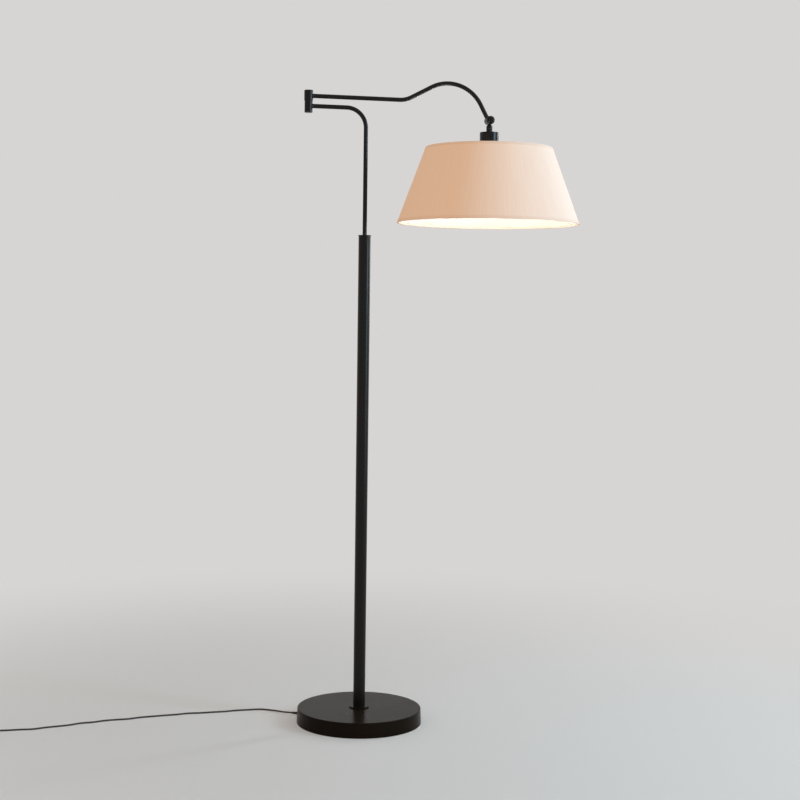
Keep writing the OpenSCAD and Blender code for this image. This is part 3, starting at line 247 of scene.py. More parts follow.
# %% [markdown]
# Linen on a lamp shade is a plain weave of uneven threads. Here and there a thread thickens into a slub,
# and on a shade those slubs run upright, because the cloth is cut along its length. The cover has its own
# UV map in metres, round the shade and up its slope, so noise that is stretched along the slope draws the
# slubs, and finer noise draws the threads. The bulb shines faintly through the cloth, a little less where
# a slub is thick: that is the warm emission, which the tone of the threads also drives.


# %% Shared effect: slub linen
def make_linen_group():
    tree, inside, outside = new_group(
        "ShaderNodeTree", "slub_linen",
        [("Coordinates", "Vector", None), ("Thread scale", "Float", 1500.0), ("Slub scale", "Float", 260.0)],
        [("Slubs", "Float"), ("Weave", "Float"), ("Tone", "Float")],
    )

    def threads(scale, stretch, detail):
        """Noise drawn out along one direction of the cloth."""
        place = add_node(tree, "ShaderNodeMapping", {
            "Vector": inside.outputs["Coordinates"], "Scale": stretch,
        })
        return add_node(tree, "ShaderNodeTexNoise", {
            "Vector": place.outputs["Vector"], "Scale": inside.outputs[scale], "Detail": detail,
        }).outputs["Fac"]

    def blend(first, second, share):
        """The first value, with a share of the second in its place."""
        kept = math_node(tree, "MULTIPLY", first, 1.0 - share)
        return math_node(tree, "ADD", kept, math_node(tree, "MULTIPLY", second, share))

    upright = threads("Slub scale", (1.0, 0.045, 1.0), 3.0)
    crosswise = threads("Slub scale", (0.05, 1.6, 1.0), 2.0)
    warp = threads("Thread scale", (1.0, 0.1, 1.0), 1.0)
    weft = threads("Thread scale", (0.1, 1.0, 1.0), 1.0)
    slubs = blend(upright, crosswise, 0.2)
    weave = blend(warp, weft, 0.4)
    feed(tree, outside, {"Slubs": slubs, "Weave": weave, "Tone": blend(slubs, weave, 0.3)})
    return tree


linen_group = make_linen_group()
print("linen group nodes:", len(linen_group.nodes))

# %% [markdown]
# Two finishes use the linen: the cover, and the hems. Four layers of the cloth lie at the hems, so less of
# the bulb's painted glow comes through them, and their colour is a touch darker as painted shade along the
# shade's rims. Both have a little sheen, as loose fibres give.

# %% Linen finishes
glow_under_slubs = 0.88
weave_share_of_height = 0.5


def linen_material(name, dark, light, depth, glow):
    material, tree, shader = new_material(name)
    place = add_node(tree, "ShaderNodeUVMap", uv_map="cloth")
    linen = add_node(tree, "ShaderNodeGroup", {"Coordinates": place.outputs["UV"]}, node_tree=linen_group)
    tone = spread(tree, linen.outputs["Tone"], 0.0, 1.0)
    weave = math_node(tree, "MULTIPLY", linen.outputs["Weave"], weave_share_of_height)
    height = math_node(tree, "ADD", linen.outputs["Slubs"], weave)
    feed(tree, shader, {
        "Base Color": mix_colour(tree, tone, dark, light),
        "Normal": bump(tree, height, depth),
        "Emission Color": mix_colour(tree, tone, glow, [glow_under_slubs * channel for channel in glow]),
        "Emission Strength": 1.0,
        "Roughness": 0.92,
        "Specular IOR Level": 0.2,
        "Sheen Weight": 0.15,
        "Sheen Roughness": 0.5,
    })
    material.diffuse_color = (*light, 1.0)
    return material


finishes["linen"] = linen_material(
    "cream_linen", (0.7, 0.665, 0.62), (0.825, 0.795, 0.76), 0.00025, (0.425, 0.187, 0.057),
)
# The hems' colour is darker as painted shade along the shade's rims, and their painted glow of the bulb is
# weaker.
finishes["trim"] = linen_material(
    "linen_hem_with_painted_rim_shade", (0.7, 0.655, 0.6), (0.77, 0.73, 0.685), 0.0002, (0.37, 0.155, 0.045),
)
print("finishes with linen:", len(finishes))

# %% [markdown]
# The bulb is lit in the picture. Its frosted glass is an emitter: the light that fills the shade comes
# from the surface of the glass itself, in a warm white.

# %% Lit glass
bulb_light = 26.0
bulb_colour = (1.0, 0.93, 0.82, 1.0)


def lit_glass_material():
    material, tree, shader = new_material("lit_frosted_glass")
    cloud = satin_node(tree).outputs["Cloud"]
    feed(tree, shader, {
        "Base Color": mix_colour(tree, cloud, (0.88, 0.86, 0.8), (0.94, 0.92, 0.88)),
        "Roughness": 0.4,
        "Emission Color": bulb_colour,
        "Emission Strength": bulb_light,
    })
    return material


finishes["frosted_glass"] = lit_glass_material()
print("bulb strength:", bulb_light)

# %% [markdown]
# Pieces that stay as the CAD model has them, such as screws, nuts and the weight inside, take the finish
# of their own material slot.

# %% CAD nodes take their finishes by slot
for node_name, node_object in frame["nodes"].items():
    node_object.data.materials.clear()
    node_object.data.materials.append(finishes[slot_of[node_name]])
print("CAD nodes finished:", len(frame["nodes"]))


# %% [markdown]
# The supply cord is one length of round cable. It comes out of a tapered strain relief in the base's
# wall, drops to the floor and lies there in lazy bends. A list of given points suits such a line,
# because no rule gives the way a cord happens to fall.

# %% The cord's way over the floor
cord_diameter = 0.004
cord_radius = cord_diameter / 2
inlet_angle = math.radians(151)
inlet_direction = Vector((math.cos(inlet_angle), math.sin(inlet_angle), 0))
inlet_start = 0.13801
inlet_height = 0.0063
lead_straight = 0.006
relief_tip_radius = 0.0026
relief_end = -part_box("strain_relief")[0].x / math.cos(math.pi - inlet_angle)
relief_end -= relief_tip_radius * math.tan(math.pi - inlet_angle)
floor_route = [
    (-0.164, 0.096, 0.0049), (-0.187, 0.124, 0.0026), (-0.215, 0.141, 0.002), (-0.244, 0.141, 0.002),
    (-0.273, 0.140, 0.002), (-0.302, 0.135, 0.002), (-0.331, 0.134, 0.002), (-0.360, 0.132, 0.002),
    (-0.388, 0.133, 0.002), (-0.417, 0.127, 0.002), (-0.445, 0.124, 0.002), (-0.474, 0.120, 0.002),
    (-0.502, 0.116, 0.002), (-0.530, 0.107, 0.002), (-0.558, 0.105, 0.002), (-0.586, 0.101, 0.002),
    (-0.613, 0.092, 0.002), (-0.641, 0.088, 0.002), (-0.668, 0.076, 0.002), (-0.695, 0.070, 0.002),
    (-0.722, 0.064, 0.002), (-0.748, 0.056, 0.002), (-0.775, 0.057, 0.002), (-0.801, 0.056, 0.002),
    (-0.824, 0.0555, 0.0023),
]
route = [
    inlet_direction * distance + Vector((0, 0, inlet_height))
    for distance in (inlet_start, (inlet_start + relief_end) / 2, relief_end, relief_end + lead_straight)
]
route += [Vector(point) for point in floor_route]
print("cord points on the way:", len(route))

# %% [markdown]
# What the picture doesn't show of the cord is put away in a neat coil of four layers just past the edge
# of the view, tied once, with the plug beside it. A coil does follow a rule: each layer is a spiral, and
# the next one spirals back on top of it.

# %% The coil and the tail
coil_centre = Vector((-0.851, 0.029))
coil_pitch = 0.0045
coil_radius = 0.02225
coil_layers = 4
layer_turns = 1.75
last_turn = 0.25
climb_turns = 0.5
coil_start_angle = math.pi / 2
coil_base = 0.00275
points_per_turn = 24
coil_outer = coil_radius + coil_pitch * layer_turns / 2


def coil_point(turn):
    """A point of the coil: it spirals in and out again and climbs a layer where the spiral turns back."""
    layer = min(int(turn / layer_turns), coil_layers - 1)
    along = turn - layer * layer_turns
    radius = coil_outer - coil_pitch * (along if layer % 2 == 0 else layer_turns - along)
    climbs = [(turn - edge * layer_turns) / climb_turns + 0.5 for edge in range(1, coil_layers)]
    angle = coil_start_angle + 2 * math.pi * turn
    return Vector((
        coil_centre.x + radius * math.cos(angle),
        coil_centre.y + radius * math.sin(angle),
        coil_base + coil_pitch * sum(max(0.0, min(1.0, climb)) for climb in climbs),
    ))


coil_steps = int((coil_layers * layer_turns + last_turn) * points_per_turn)
coil_top = coil_base + coil_pitch * (coil_layers - 1)
plug_low, plug_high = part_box("plug_body")
plug_middle = (plug_low.z + plug_high.z) / 2
tail_start = Vector((
    coil_centre.x - coil_outer - coil_pitch * last_turn, coil_centre.y - cord_diameter, coil_top,
))
plug_back = tail_start + Vector((-0.003, -0.043, plug_middle - coil_top))
route.append(Vector((coil_centre.x + cord_diameter, coil_centre.y + coil_outer, coil_base)))
route += [coil_point(step / points_per_turn) for step in range(coil_steps + 1)]
route += [
    tail_start,
    tail_start + Vector((0, -0.008, -0.0006)),
    tail_start + Vector((-0.001, -0.018, -0.0044)),
    plug_back + Vector((0.0006, 0.012, 0.001)),
    plug_back,
]
print("cord points:", len(route), "of which in the coil:", coil_steps + 1)

# %% [markdown]
# A Bezier curve with a round bevel makes the cable. Each point's handles follow its two neighbours, so
# that the line is smooth without more points.


# %% Lay the cord
def smooth_curve(name, points, radius):
    """A round curve through points, with handles that follow the neighbouring points."""
    data = bpy.data.curves.new(name, "CURVE")
    data.dimensions = "3D"
    data.resolution_u = 4
    data.bevel_depth = radius
    data.bevel_resolution = 3
    data.use_fill_caps = True
    spline = data.splines.new("BEZIER")
    spline.bezier_points.add(len(points) - 1)
    befores = points[:1] + points[:-1]
    afters = points[1:] + points[-1:]
    for target, before, point, after in zip(spline.bezier_points, befores, points, afters):
        tangent = (after - before).normalized()
        target.co = point
        target.handle_left_type = target.handle_right_type = "FREE"
        target.handle_left = point - tangent * (point - before).length / 3
        target.handle_right = point + tangent * (after - point).length / 3
    return new_object(name, data)


supply_cord = smooth_curve("supply_cord", route, cord_radius)
supply_cord.data.materials.append(finishes["cord"])
print("cord length:", round(sum((b - a).length for a, b in zip(route, route[1:])), 3))

# %% [markdown]
# Most of this lamp is turned on a lathe or bent from tube. A turned piece is a profile that is spun
# round an axis. Real edges are never knife sharp, and it is the small rounding that catches the light, so
# each corner of a profile carries its own radius. Where two pieces touch, a seat keeps their faces a
# hair's breadth apart.

# %% Profiles with rounded corners
fine_edge = 0.0002
broken_edge = 0.0003
small_edge = 0.0004
soft_edge = 0.0006
full_edge = 0.0008
seat = 0.00005
guard_share = 0.2


def round_corners(corners, steps=5):
    """A closed profile of (radius, height, rounding) corners, as plain points with the arcs drawn.

    A corner without a rounding stays sharp. A guard point stands on the flat just beside each arc, so
    that smooth shading doesn't dome the flat.
    """
    places = [Vector(corner[:2]) for corner in corners]
    roundings = [corner[2] if len(corner) > 2 else 0 for corner in corners]
    count = len(corners)
    points = []

    def sides(i):
        """The directions of a corner's sides, half the angle between them, and its arc's reach."""
        to_before = (places[i - 1] - places[i]).normalized()
        to_after = (places[(i + 1) % count] - places[i]).normalized()
        half = to_before.angle(to_after) / 2
        return to_before, to_after, half, roundings[i] / math.tan(half)

    def add_guard(i, neighbour, direction, reach):
        taken = sides(neighbour)[3] if roundings[neighbour] else 0
        if (places[neighbour] - places[i]).length - reach - taken > roundings[i]:
            points.append(places[i] + direction * (reach + guard_share * roundings[i]))

    for i, (place, rounding) in enumerate(zip(places, roundings)):
        if not rounding:
            points.append(place)
            continue
        to_before, to_after, half, reach = sides(i)
        centre = place + (to_before + to_after).normalized() * rounding / math.sin(half)
        start = place + to_before * reach - centre
        sweep = start.angle_signed(place + to_after * reach - centre)
        add_guard(i, i - 1, to_before, reach)
        for k in range(steps + 1):
            turn = -sweep * k / steps
            points.append(centre + Vector((
                start.x * math.cos(turn) - start.y * math.sin(turn),
                start.x * math.sin(turn) + start.y * math.cos(turn),
            )))
        add_guard(i, (i + 1) % count, to_after, reach)
    return points


square = [(1, 0), (1, 1), (0, 1), (0, 0)]
rounded_square = round_corners([(*corner, broken_edge) for corner in square])
print("a square has", len(square), "points, and a rounded one", len(rounded_square))

# %% [markdown]
# A profile can be spun round any axis: each of its points becomes a ring of vertices, and quads join each
# ring to the next. A point on the axis stays one vertex, so no pole is left open. An axis is three
# directions here: along it, and the two that span the ring.


# %% Spin a profile
UPRIGHT = (Vector((0, 0, 1)), Vector((1, 0, 0)), Vector((0, 1, 0)))
FRONT_TO_BACK = (Vector((0, 1, 0)), Vector((0, 0, 1)), Vector((1, 0, 0)))
LEFT_TO_RIGHT = (Vector((1, 0, 0)), Vector((0, 1, 0)), Vector((0, 0, 1)))
on_axis = 1e-7


def add_quads(builder, lower, upper):
    """Faces between two closed rings of vertices. A ring may be one vertex, repeated."""
    for k in range(len(lower)):
        after = (k + 1) % len(lower)
        corners = list(dict.fromkeys([lower[k], lower[after], upper[after], upper[k]]))
        if len(corners) > 2:
            builder.faces.new(corners)


def spin(builder, profile, origin, axes, steps=96):
    """Adds a closed profile, spun round an axis, to a bmesh. A point on the axis is one vertex."""
    axis, across, upright = axes
    rings = []
    for radius, height in profile:
        centre = origin + axis * height
        if radius < on_axis:
            rings.append([builder.verts.new(centre)] * steps)
            continue
        angles = [2 * math.pi * k / steps for k in range(steps)]
        rings.append([
            builder.verts.new(centre + (across * math.cos(angle) + upright * math.sin(angle)) * radius)
            for angle in angles
        ])
    for lower, upper in zip(rings, rings[1:] + rings[:1]):
        add_quads(builder, lower, upper)


# %% [markdown]
# A finished piece rides on a moving body of the lamp, has a material slot and stands in for a CAD node.
# All three come from the frame. Smooth shading, with edges kept sharp past an angle, lets a round wall
# look round while its rims stay crisp.


# %% Finish a piece
def settle(made, body, replaced=()):
    """Gives a piece its body and the CAD nodes that it stands in for."""
    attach(made, body)
    if replaced:
        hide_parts(*replaced)
    return made


def finish_piece(name, builder, body, slot_name, replaced=(), sharp=35, finish=None):
    """Turns a bmesh into a smooth piece that rides on a body. Its finish is its slot's, or another."""
    bmesh.ops.recalc_face_normals(builder, faces=builder.faces)
    mesh = bpy.data.meshes.new(name)
    builder.to_mesh(mesh)
    builder.free()
    mesh.shade_smooth()
    mesh.set_sharp_from_angle(angle=math.radians(sharp))
    mesh.materials.append(finishes[finish or slot_name])
    return settle(new_object(name, mesh), body, replaced)


def finish_node(node, builder, **look):
    """The finished form of a CAD node, on its body, in its slot and in its place."""
    return finish_piece(node + "_finished", builder, body_of[node], slot_of[node], [node], **look)


def turned(node, corners, origin=(0, 0, 0), axes=UPRIGHT, steps=96, arc_steps=5, **look):
    """The finished form of a CAD node that is one profile, spun."""
    builder = bmesh.new()
    spin(builder, round_corners(corners, arc_steps), Vector(origin), axes, steps)
    return finish_node(node, builder, **look)


# %% [markdown]
# The base is a shallow dish of sheet steel over a cast weight. It leans in a little toward its top, and
# its top edge has the small radius of a pressed sheet. The profile follows the outside, then comes back
# along the inside, so the shell has its real thickness.

# %% Base
base_low, base_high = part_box("base_cover")
base_radius = radius_of("base_cover")
base_draft = 0.0017
base_edge = 0.0018
base_foot_edge = 0.0004
sheet_thickness = 0.0015
nipple_hole = 0.0051
base_top_radius = base_radius - base_draft
base_inside = base_high.z - sheet_thickness
base_profile = [
    (base_radius, base_low.z, base_foot_edge), (base_top_radius, base_high.z, base_edge),
    (nipple_hole, base_high.z), (nipple_hole, base_inside),
    (base_top_radius - sheet_thickness, base_inside, broken_edge),
    (base_radius - sheet_thickness, base_low.z, base_foot_edge),
]
turned("base_cover", base_profile, steps=192, finish="base_paint")

collar_low, collar_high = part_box("foot_collar")
collar_radius = radius_of("foot_collar")
collar_edge = 0.0009
collar_profile = [
    (collar_radius, collar_low.z), (collar_radius, collar_high.z, collar_edge),
    (nipple_hole, collar_high.z), (nipple_hole, collar_low.z),
]
turned("foot_collar", collar_profile, finish="base_paint")
print("base radius:", round(base_radius, 4), "height:", round(base_high.z, 4))

# %% [markdown]
# The pole is one straight tube, and a cap with a thin rim closes its top. The riser slides through a
# nylon bush in that cap.

# %% Pole and cap
pole_low, pole_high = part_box("pole_tube")
pole_radius = radius_of("pole_tube")
pole_wall = 0.0012
pole_bore = pole_radius - pole_wall
pole_profile = [
    (pole_radius, pole_low.z, broken_edge), (pole_radius, pole_high.z, broken_edge),
    (pole_bore, pole_high.z), (pole_bore, pole_low.z),
]
turned("pole_tube", pole_profile, steps=128)

cap_low, cap_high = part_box("pole_cap")
cap_radius = radius_of("pole_cap")
bush_rim = 0.00125
bush_hole = 0.00705
bush_seat_radius = radius_of("riser_bush") + seat
cap_profile = [
    (cap_radius, pole_high.z, broken_edge), (cap_radius, cap_high.z, soft_edge),
    (bush_seat_radius, cap_high.z, fine_edge), (bush_seat_radius, cap_high.z - bush_rim),
    (bush_hole, cap_high.z - bush_rim), (bush_hole, cap_low.z),
    (pole_bore - seat, cap_low.z), (pole_bore - seat, pole_high.z),
]
turned("pole_cap", cap_profile)
print("pole top:", round(cap_high.z, 4))

# %% [markdown]
# The riser and the two arms are the same tube, bent cold. Geometry Nodes suit them, because each is one
# rule: a circle that follows a path. Every tree here ends alike: what it made becomes real, takes its
# finish from an input and goes out. A tree runs on an object as a modifier, whose inputs are set by the
# sockets' identifiers, and the result is taken over as a plain mesh.


# %% Make and run a tree
def make_tree(name, inputs, build):
    """A Geometry Nodes tree with named inputs. The given function builds its geometry."""
    tree, inside, outside = new_group(
        "GeometryNodeTree", name,
        [("Geometry", "Geometry", None), *inputs, ("Finish", "Material", None)], [("Geometry", "Geometry")],
    )
    tree.is_modifier = True
    real = add_node(tree, "GeometryNodeRealizeInstances", {"Geometry": build(tree, inside.outputs)})
    paint = add_node(tree, "GeometryNodeSetMaterial", {
        "Geometry": real.outputs["Geometry"], "Material": inside.outputs["Finish"],
    })
    feed(tree, outside, {"Geometry": paint.outputs["Geometry"]})
    return tree


def run_tree(source, tree, name, **values):
    """Runs a tree on an object and gives the result as a plain new object. The source is removed."""
    modifier = source.modifiers.new("tree", "NODES")
    modifier.node_group = tree
    for item in tree.interface.items_tree:
        if item.in_out == "INPUT" and item.name in values:
            modifier[item.identifier] = values[item.name]
    bpy.context.view_layer.update()
    graph = bpy.context.evaluated_depsgraph_get()
    mesh = bpy.data.meshes.new_from_object(source.evaluated_get(graph))
    mesh.name = name
    bpy.data.objects.remove(source)
    return new_object(name, mesh)


# %% [markdown]
# The tube's own tree sweeps a circle along the path and closes its ends. The radius and the number of
# sides are named inputs, and the path is a curve of points: straights, and arcs for the bends.


# %% Tube along a path
tube_radius = 0.005
tube_sides = 48


def sweep_circle(tree, given):
    """The geometry of the tube's tree: a circle that is swept along the object's curve."""
    circle = add_node(tree, "GeometryNodeCurvePrimitiveCircle", {
        "Radius": given["Radius"], "Resolution": given["Sides"],
    })
    sweep = add_node(tree, "GeometryNodeCurveToMesh", {
        "Curve": given["Geometry"], "Profile Curve": circle.outputs["Curve"], "Fill Caps": True,
    })
    return add_node(tree, "GeometryNodeSetShadeSmooth", {"Geometry": sweep.outputs["Mesh"]}).outputs[0]


tube_tree = make_tree(
    "tube_along_path", [("Radius", "Float", tube_radius), ("Sides", "Int", tube_sides)], sweep_circle,
)


def bent_tube(node, points):
    """The finished form of a CAD tube, swept along the points of its path."""
    data = bpy.data.curves.new(node + "_path", "CURVE")
    data.dimensions = "3D"
    spline = data.splines.new("POLY")
    spline.points.add(len(points) - 1)
    for target, point in zip(spline.points, points):
        target.co = (*point, 1.0)
    slot_name = slot_of[node]
    made = run_tree(
        new_object(node + "_path", data), tube_tree, node + "_finished",
        Radius=tube_radius, Sides=tube_sides, Finish=finishes[slot_name],
    )
    made.data.set_sharp_from_angle(angle=math.radians(35))
    return settle(made, body_of[node], [node])


def arc(centre, radius, start, end, steps=28):
    """Points of an arc in the plane of the arms, by angles in degrees from +X toward +Z."""
    angles = [math.radians(start + (end - start) * k / steps) for k in range(steps + 1)]
    return [
        Vector((centre[0] + radius * math.cos(angle), 0, centre[1] + radius * math.sin(angle)))
        for angle in angles
    ]


print("tube tree nodes:", len(tube_tree.nodes))

# %% [markdown]
# The riser stands in the pole and bends over into the lower arm, so one path makes both: up, a quarter
# turn, and straight on to the hinge.

# %% Riser and lower arm
riser_low, riser_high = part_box("riser_tube")
riser_bend = 0.045
lower_arm_height = riser_high.z - tube_radius
riser_path = [Vector((0, 0, riser_low.z))]
riser_path += arc((-riser_bend, lower_arm_height - riser_bend), riser_bend, 0, 90)
riser_path.append(Vector((riser_low.x, 0, lower_arm_height)))
bent_tube("riser_tube", riser_path)
print("lower arm height:", round(lower_arm_height, 4))

# %% [markdown]
# The upper arm is worked back from the tilt axis, as in the CAD source: a straight tail, the crest, a
# climb, a softer dip and a level stretch. Only the driving sizes are given.

# %% Upper arm
screw_low, screw_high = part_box("tilt_screw")
tilt_point = Vector(((screw_low.x + screw_high.x) / 2, 0, (screw_low.z + screw_high.z) / 2))
rise = 28
fall = 62
rise_angle = math.radians(rise)
fall_angle = math.radians(fall)
crest_radius = 0.088
dip_radius = 0.06
tail_length = 0.0408
neck_end = 0.011
upper_arm_height = 1.4543
tail_direction = Vector((-math.cos(fall_angle), 0, math.sin(fall_angle)))
crest_end = tilt_point.xz + tail_length * tail_direction.xz
crest_centre = crest_end - crest_radius * Vector((math.sin(fall_angle), math.cos(fall_angle)))
crest_start = crest_centre + crest_radius * Vector((-math.sin(rise_angle), math.cos(rise_angle)))
dip_end_height = upper_arm_height + dip_radius * (1 - math.cos(rise_angle))
climb_length = (crest_start.y - dip_end_height) / math.sin(rise_angle)
dip_start = crest_start.x - climb_length * math.cos(rise_angle) - dip_radius * math.sin(rise_angle)
arm_path = [Vector((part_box("upper_arm")[0].x, 0, upper_arm_height))]
arm_path += arc((dip_start, upper_arm_height + dip_radius), dip_radius, -90, rise - 90, 14)
arm_path += arc(crest_centre, crest_radius, 90 + rise, 90 - fall, 44)
arm_path.append(tilt_point + tail_direction * neck_end)
bent_tube("upper_arm", arm_path)
print("crest height:", round(crest_centre.y + crest_radius + tube_radius, 4))

# %% [markdown]
# The hinge barrel is two turned knuckles, one on each arm, clamped by a hollow bolt with a thin friction
# washer between. A cap closes each end. The two knuckles mirror each other, so one function turns both.

# %% Hinge barrel
lower_low, lower_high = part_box("lower_knuckle")
upper_low, upper_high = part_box("upper_knuckle")
barrel = Vector(((lower_low.x + lower_high.x) / 2, 0, 0))
knuckle_wall = 0.002
knuckle_floor = 0.004
sleeve_hole = 0.00405
mouth_edge = 0.0009
cap_dome = 0.0002
dome_shoulder_out = 0.75
dome_shoulder_up = 0.6


def knuckle(node, mouth, joint):
    """A cup: its floor lies at the joint between the knuckles, and its mouth takes the cap."""
    radius = radius_of(node)
    inner = radius - knuckle_wall
    floor = joint + math.copysign(knuckle_floor, mouth - joint)
    corners = [
        (radius, mouth, mouth_edge), (radius, joint, broken_edge), (sleeve_hole, joint),
        (sleeve_hole, floor), (inner, floor), (inner, mouth, fine_edge),
    ]
    return turned(node, corners, barrel)


def end_cap(node, inner, outer):
    """A thin disc, slightly domed."""
    radius = radius_of(node)
    dome = math.copysign(cap_dome, outer - inner)
    corners = [
        (0, outer + dome), (radius * dome_shoulder_out, outer + dome * dome_shoulder_up),
        (radius, outer, broken_edge), (radius, inner), (0, inner),
    ]
    return turned(node, corners, barrel)


knuckle("lower_knuckle", lower_low.z, lower_high.z)
knuckle("upper_knuckle", upper_high.z, upper_low.z)
cap_bottom, cap_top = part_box("lower_cap")
end_cap("lower_cap", cap_top.z, cap_bottom.z)
cap_bottom, cap_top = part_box("upper_cap")
end_cap("upper_cap", cap_bottom.z, cap_top.z)
print("barrel at x =", round(barrel.x, 4))

# %% [markdown]
# Where a tube enters its knuckle, brass has run into a small fillet that the paint now covers. It is a
# hollow curve, so one corner of its profile has a large rounding.

# %% Braze fillets
fillet_size = 0.0011
fillet_length = 0.0032
fillet_waist = 0.0004
fillet_hollow = 0.0008


def braze(name, node, height):
    """A little cove round a tube, from its knuckle's wall outward."""
    start = math.sqrt(radius_of(node) ** 2 - tube_radius ** 2)
    end = start + fillet_length
    corners = [
        (tube_radius, start), (tube_radius + fillet_size, start),
        (tube_radius + fillet_waist, (start + end) / 2, fillet_hollow), (tube_radius, end),
    ]
    builder = bmesh.new()
    spin(builder, round_corners(corners), barrel + Vector((0, 0, height)), LEFT_TO_RIGHT, 48)
    return finish_piece(name, builder, body_of[node], "bronze", sharp=60)


braze("lower_arm_braze", "lower_knuckle", lower_arm_height)
braze("upper_arm_braze", "upper_knuckle", upper_arm_height)
print("fillets stand out by", fillet_size)

# %% [markdown]
# The tilt joint is two discs side by side on one screw: the arm's disc lies in the plane of the arms,
# and the shade's disc lies in front of it. Each disc is turned about an axis along Y and carries a neck
# or a stem, which is turned about its own axis and runs into the disc.

# %% Discs of the tilt joint
washer_low, washer_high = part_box("tilt_washer")
nut_low, nut_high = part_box("tilt_nut")
knob_low, knob_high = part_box("tilt_knob")
cup_low, cup_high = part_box("socket_cap")
shade_axis = Vector(((cup_low.x + cup_high.x) / 2, (cup_low.y + cup_high.y) / 2, 0))
disc_radius = radius_of("tilt_washer")
disc_edge = 0.0007
screw_hole = 0.00255
spigot_radius = 0.0049
spigot_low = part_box("shade_disc")[0].z
stem_radius = 0.00725
stem_neck = 0.0041
stem_top = tilt_point.z - 0.006
stem_neck_low = tilt_point.z - disc_radius - 0.0012
stem_shoulder = tilt_point.z - disc_radius - 0.0035
neck_start = 0.0083
neck_shoulder = 0.0096
neck_radii = (0.0041, 0.0048)
neck_collar_radius = 0.0052
neck_collar_end = neck_end + 0.0006
knob_gap = 0.0001


def add_disc(builder, front, back):
    corners = [
        (screw_hole, front), (disc_radius, front, disc_edge), (disc_radius, back, disc_edge),
        (screw_hole, back),
    ]
    spin(builder, round_corners(corners), tilt_point, FRONT_TO_BACK)


def tube_between(builder, start, end, radius, end_radius=None, steps=48):
    """Adds a closed round bar between two points to a bmesh."""
    direction = (end - start).normalized()
    across = direction.orthogonal().normalized()
    length = (end - start).length
    tip = end_radius or radius
    profile = [(0, 0), (radius, 0), (tip, length), (0, length)]
    spin(builder, profile, start, (direction, across, direction.cross(across)), steps)


neck_foot, collar_foot, collar_top = (
    tilt_point + tail_direction * reach for reach in (neck_start, neck_shoulder, neck_collar_end)
)
builder = bmesh.new()
add_disc(builder, washer_high.y + seat, nut_low.y)
tube_between(builder, neck_foot, collar_foot, *neck_radii)
tube_between(builder, collar_foot, collar_top, neck_collar_radius)
finish_node("arm_disc", builder)

stem_corners = [
    (0, stem_top), (stem_neck, stem_top), (stem_neck, stem_neck_low, soft_edge),
    (stem_radius, stem_shoulder, full_edge), (stem_radius, cup_high.z, small_edge),
    (spigot_radius, cup_high.z), (spigot_radius, spigot_low, small_edge), (0, spigot_low),
]
builder = bmesh.new()
add_disc(builder, knob_high.y + knob_gap, washer_low.y - seat)
spin(builder, round_corners(stem_corners), shade_axis, UPRIGHT, 64)
finish_node("shade_disc", builder)
print("tilt axis:", round(tilt_point.x, 4), round(tilt_point.z, 4))

# %% [markdown]
# A ball-like knob in front clamps the discs, and a domed nut closes the back. The round part of each
# profile is an arc of points, and the knob has a small flat face, as a turned knob is left with.

# %% Tilt knob and nut
knob_radius = radius_of("tilt_knob")
knob_face = 0.0009
knob_face_radius = 0.0045
knob_rim_radius = 0.0062
knob_rim_step = 0.00025
knob_middle_share = 0.36
knob_hole_depth = 0.0031
nut_hole_depth = 0.0066


def ball(count, radius, middle, start, end):
    """Points of a ball's profile, by angles from its equator."""
    angles = [start + (end - start) * k / count for k in range(count + 1)]
    return [(radius * math.cos(angle), middle + radius * math.sin(angle)) for angle in angles]


knob_middle = knob_high.y - (knob_high.y - knob_low.y) * knob_middle_share
knob_front_angle = math.asin((knob_middle - knob_low.y - knob_face) / knob_radius)
knob_back_angle = math.asin((knob_high.y - knob_middle) / knob_radius)
knob_hole_end = knob_low.y + knob_hole_depth
knob_profile = [
    (0, knob_low.y), (knob_face_radius, knob_low.y), (knob_rim_radius, knob_low.y + knob_rim_step),
]
knob_profile += ball(32, knob_radius, knob_middle, -knob_front_angle, knob_back_angle)
knob_profile += [(screw_hole, knob_high.y), (screw_hole, knob_hole_end), (0, knob_hole_end)]
turned("tilt_knob", knob_profile, tilt_point, FRONT_TO_BACK, sharp=50)

nut_radius = radius_of("tilt_nut")
nut_hole_end = nut_low.y + nut_hole_depth
nut_profile = [
    (screw_hole, nut_low.y), (nut_radius - soft_edge, nut_low.y), (nut_radius, nut_low.y + soft_edge),
]
nut_profile += ball(16, nut_radius, nut_high.y - nut_radius, 0, math.pi / 2)
nut_profile += [(0, nut_hole_end), (screw_hole, nut_hole_end)]
turned("tilt_nut", nut_profile, tilt_point, FRONT_TO_BACK, steps=64, sharp=50)
print("knob radius:", round(knob_radius, 4), "nut radius:", round(nut_radius, 4))

# %% [markdown]
# A spun metal cup hides the top of the socket. It is thin sheet with a crisp upper edge.

# %% Cup
cup_radius = radius_of("socket_cap")
cup_wall = 0.001
cup_profile = [
    (cup_radius, cup_low.z, broken_edge), (cup_radius, cup_high.z, full_edge),
    (spigot_radius, cup_high.z), (spigot_radius, cup_high.z - cup_wall),
    (cup_radius - cup_wall, cup_high.z - cup_wall, small_edge),
    (cup_radius - cup_wall, cup_low.z, broken_edge),
]
turned("socket_cap", cup_profile, shade_axis)
print("cup radius:", round(cup_radius, 4))

# %% [markdown]
# The shade is linen laminated to a stiff liner and rolled into a cone. It is cloth held flat, so it is one
# sheet of quads with a UV map in metres and its real thickness, and the same function makes the liner
# behind it. A Solidify modifier could give the thickness too, but two sheets that touch are easier to
# place by the depth of each face.

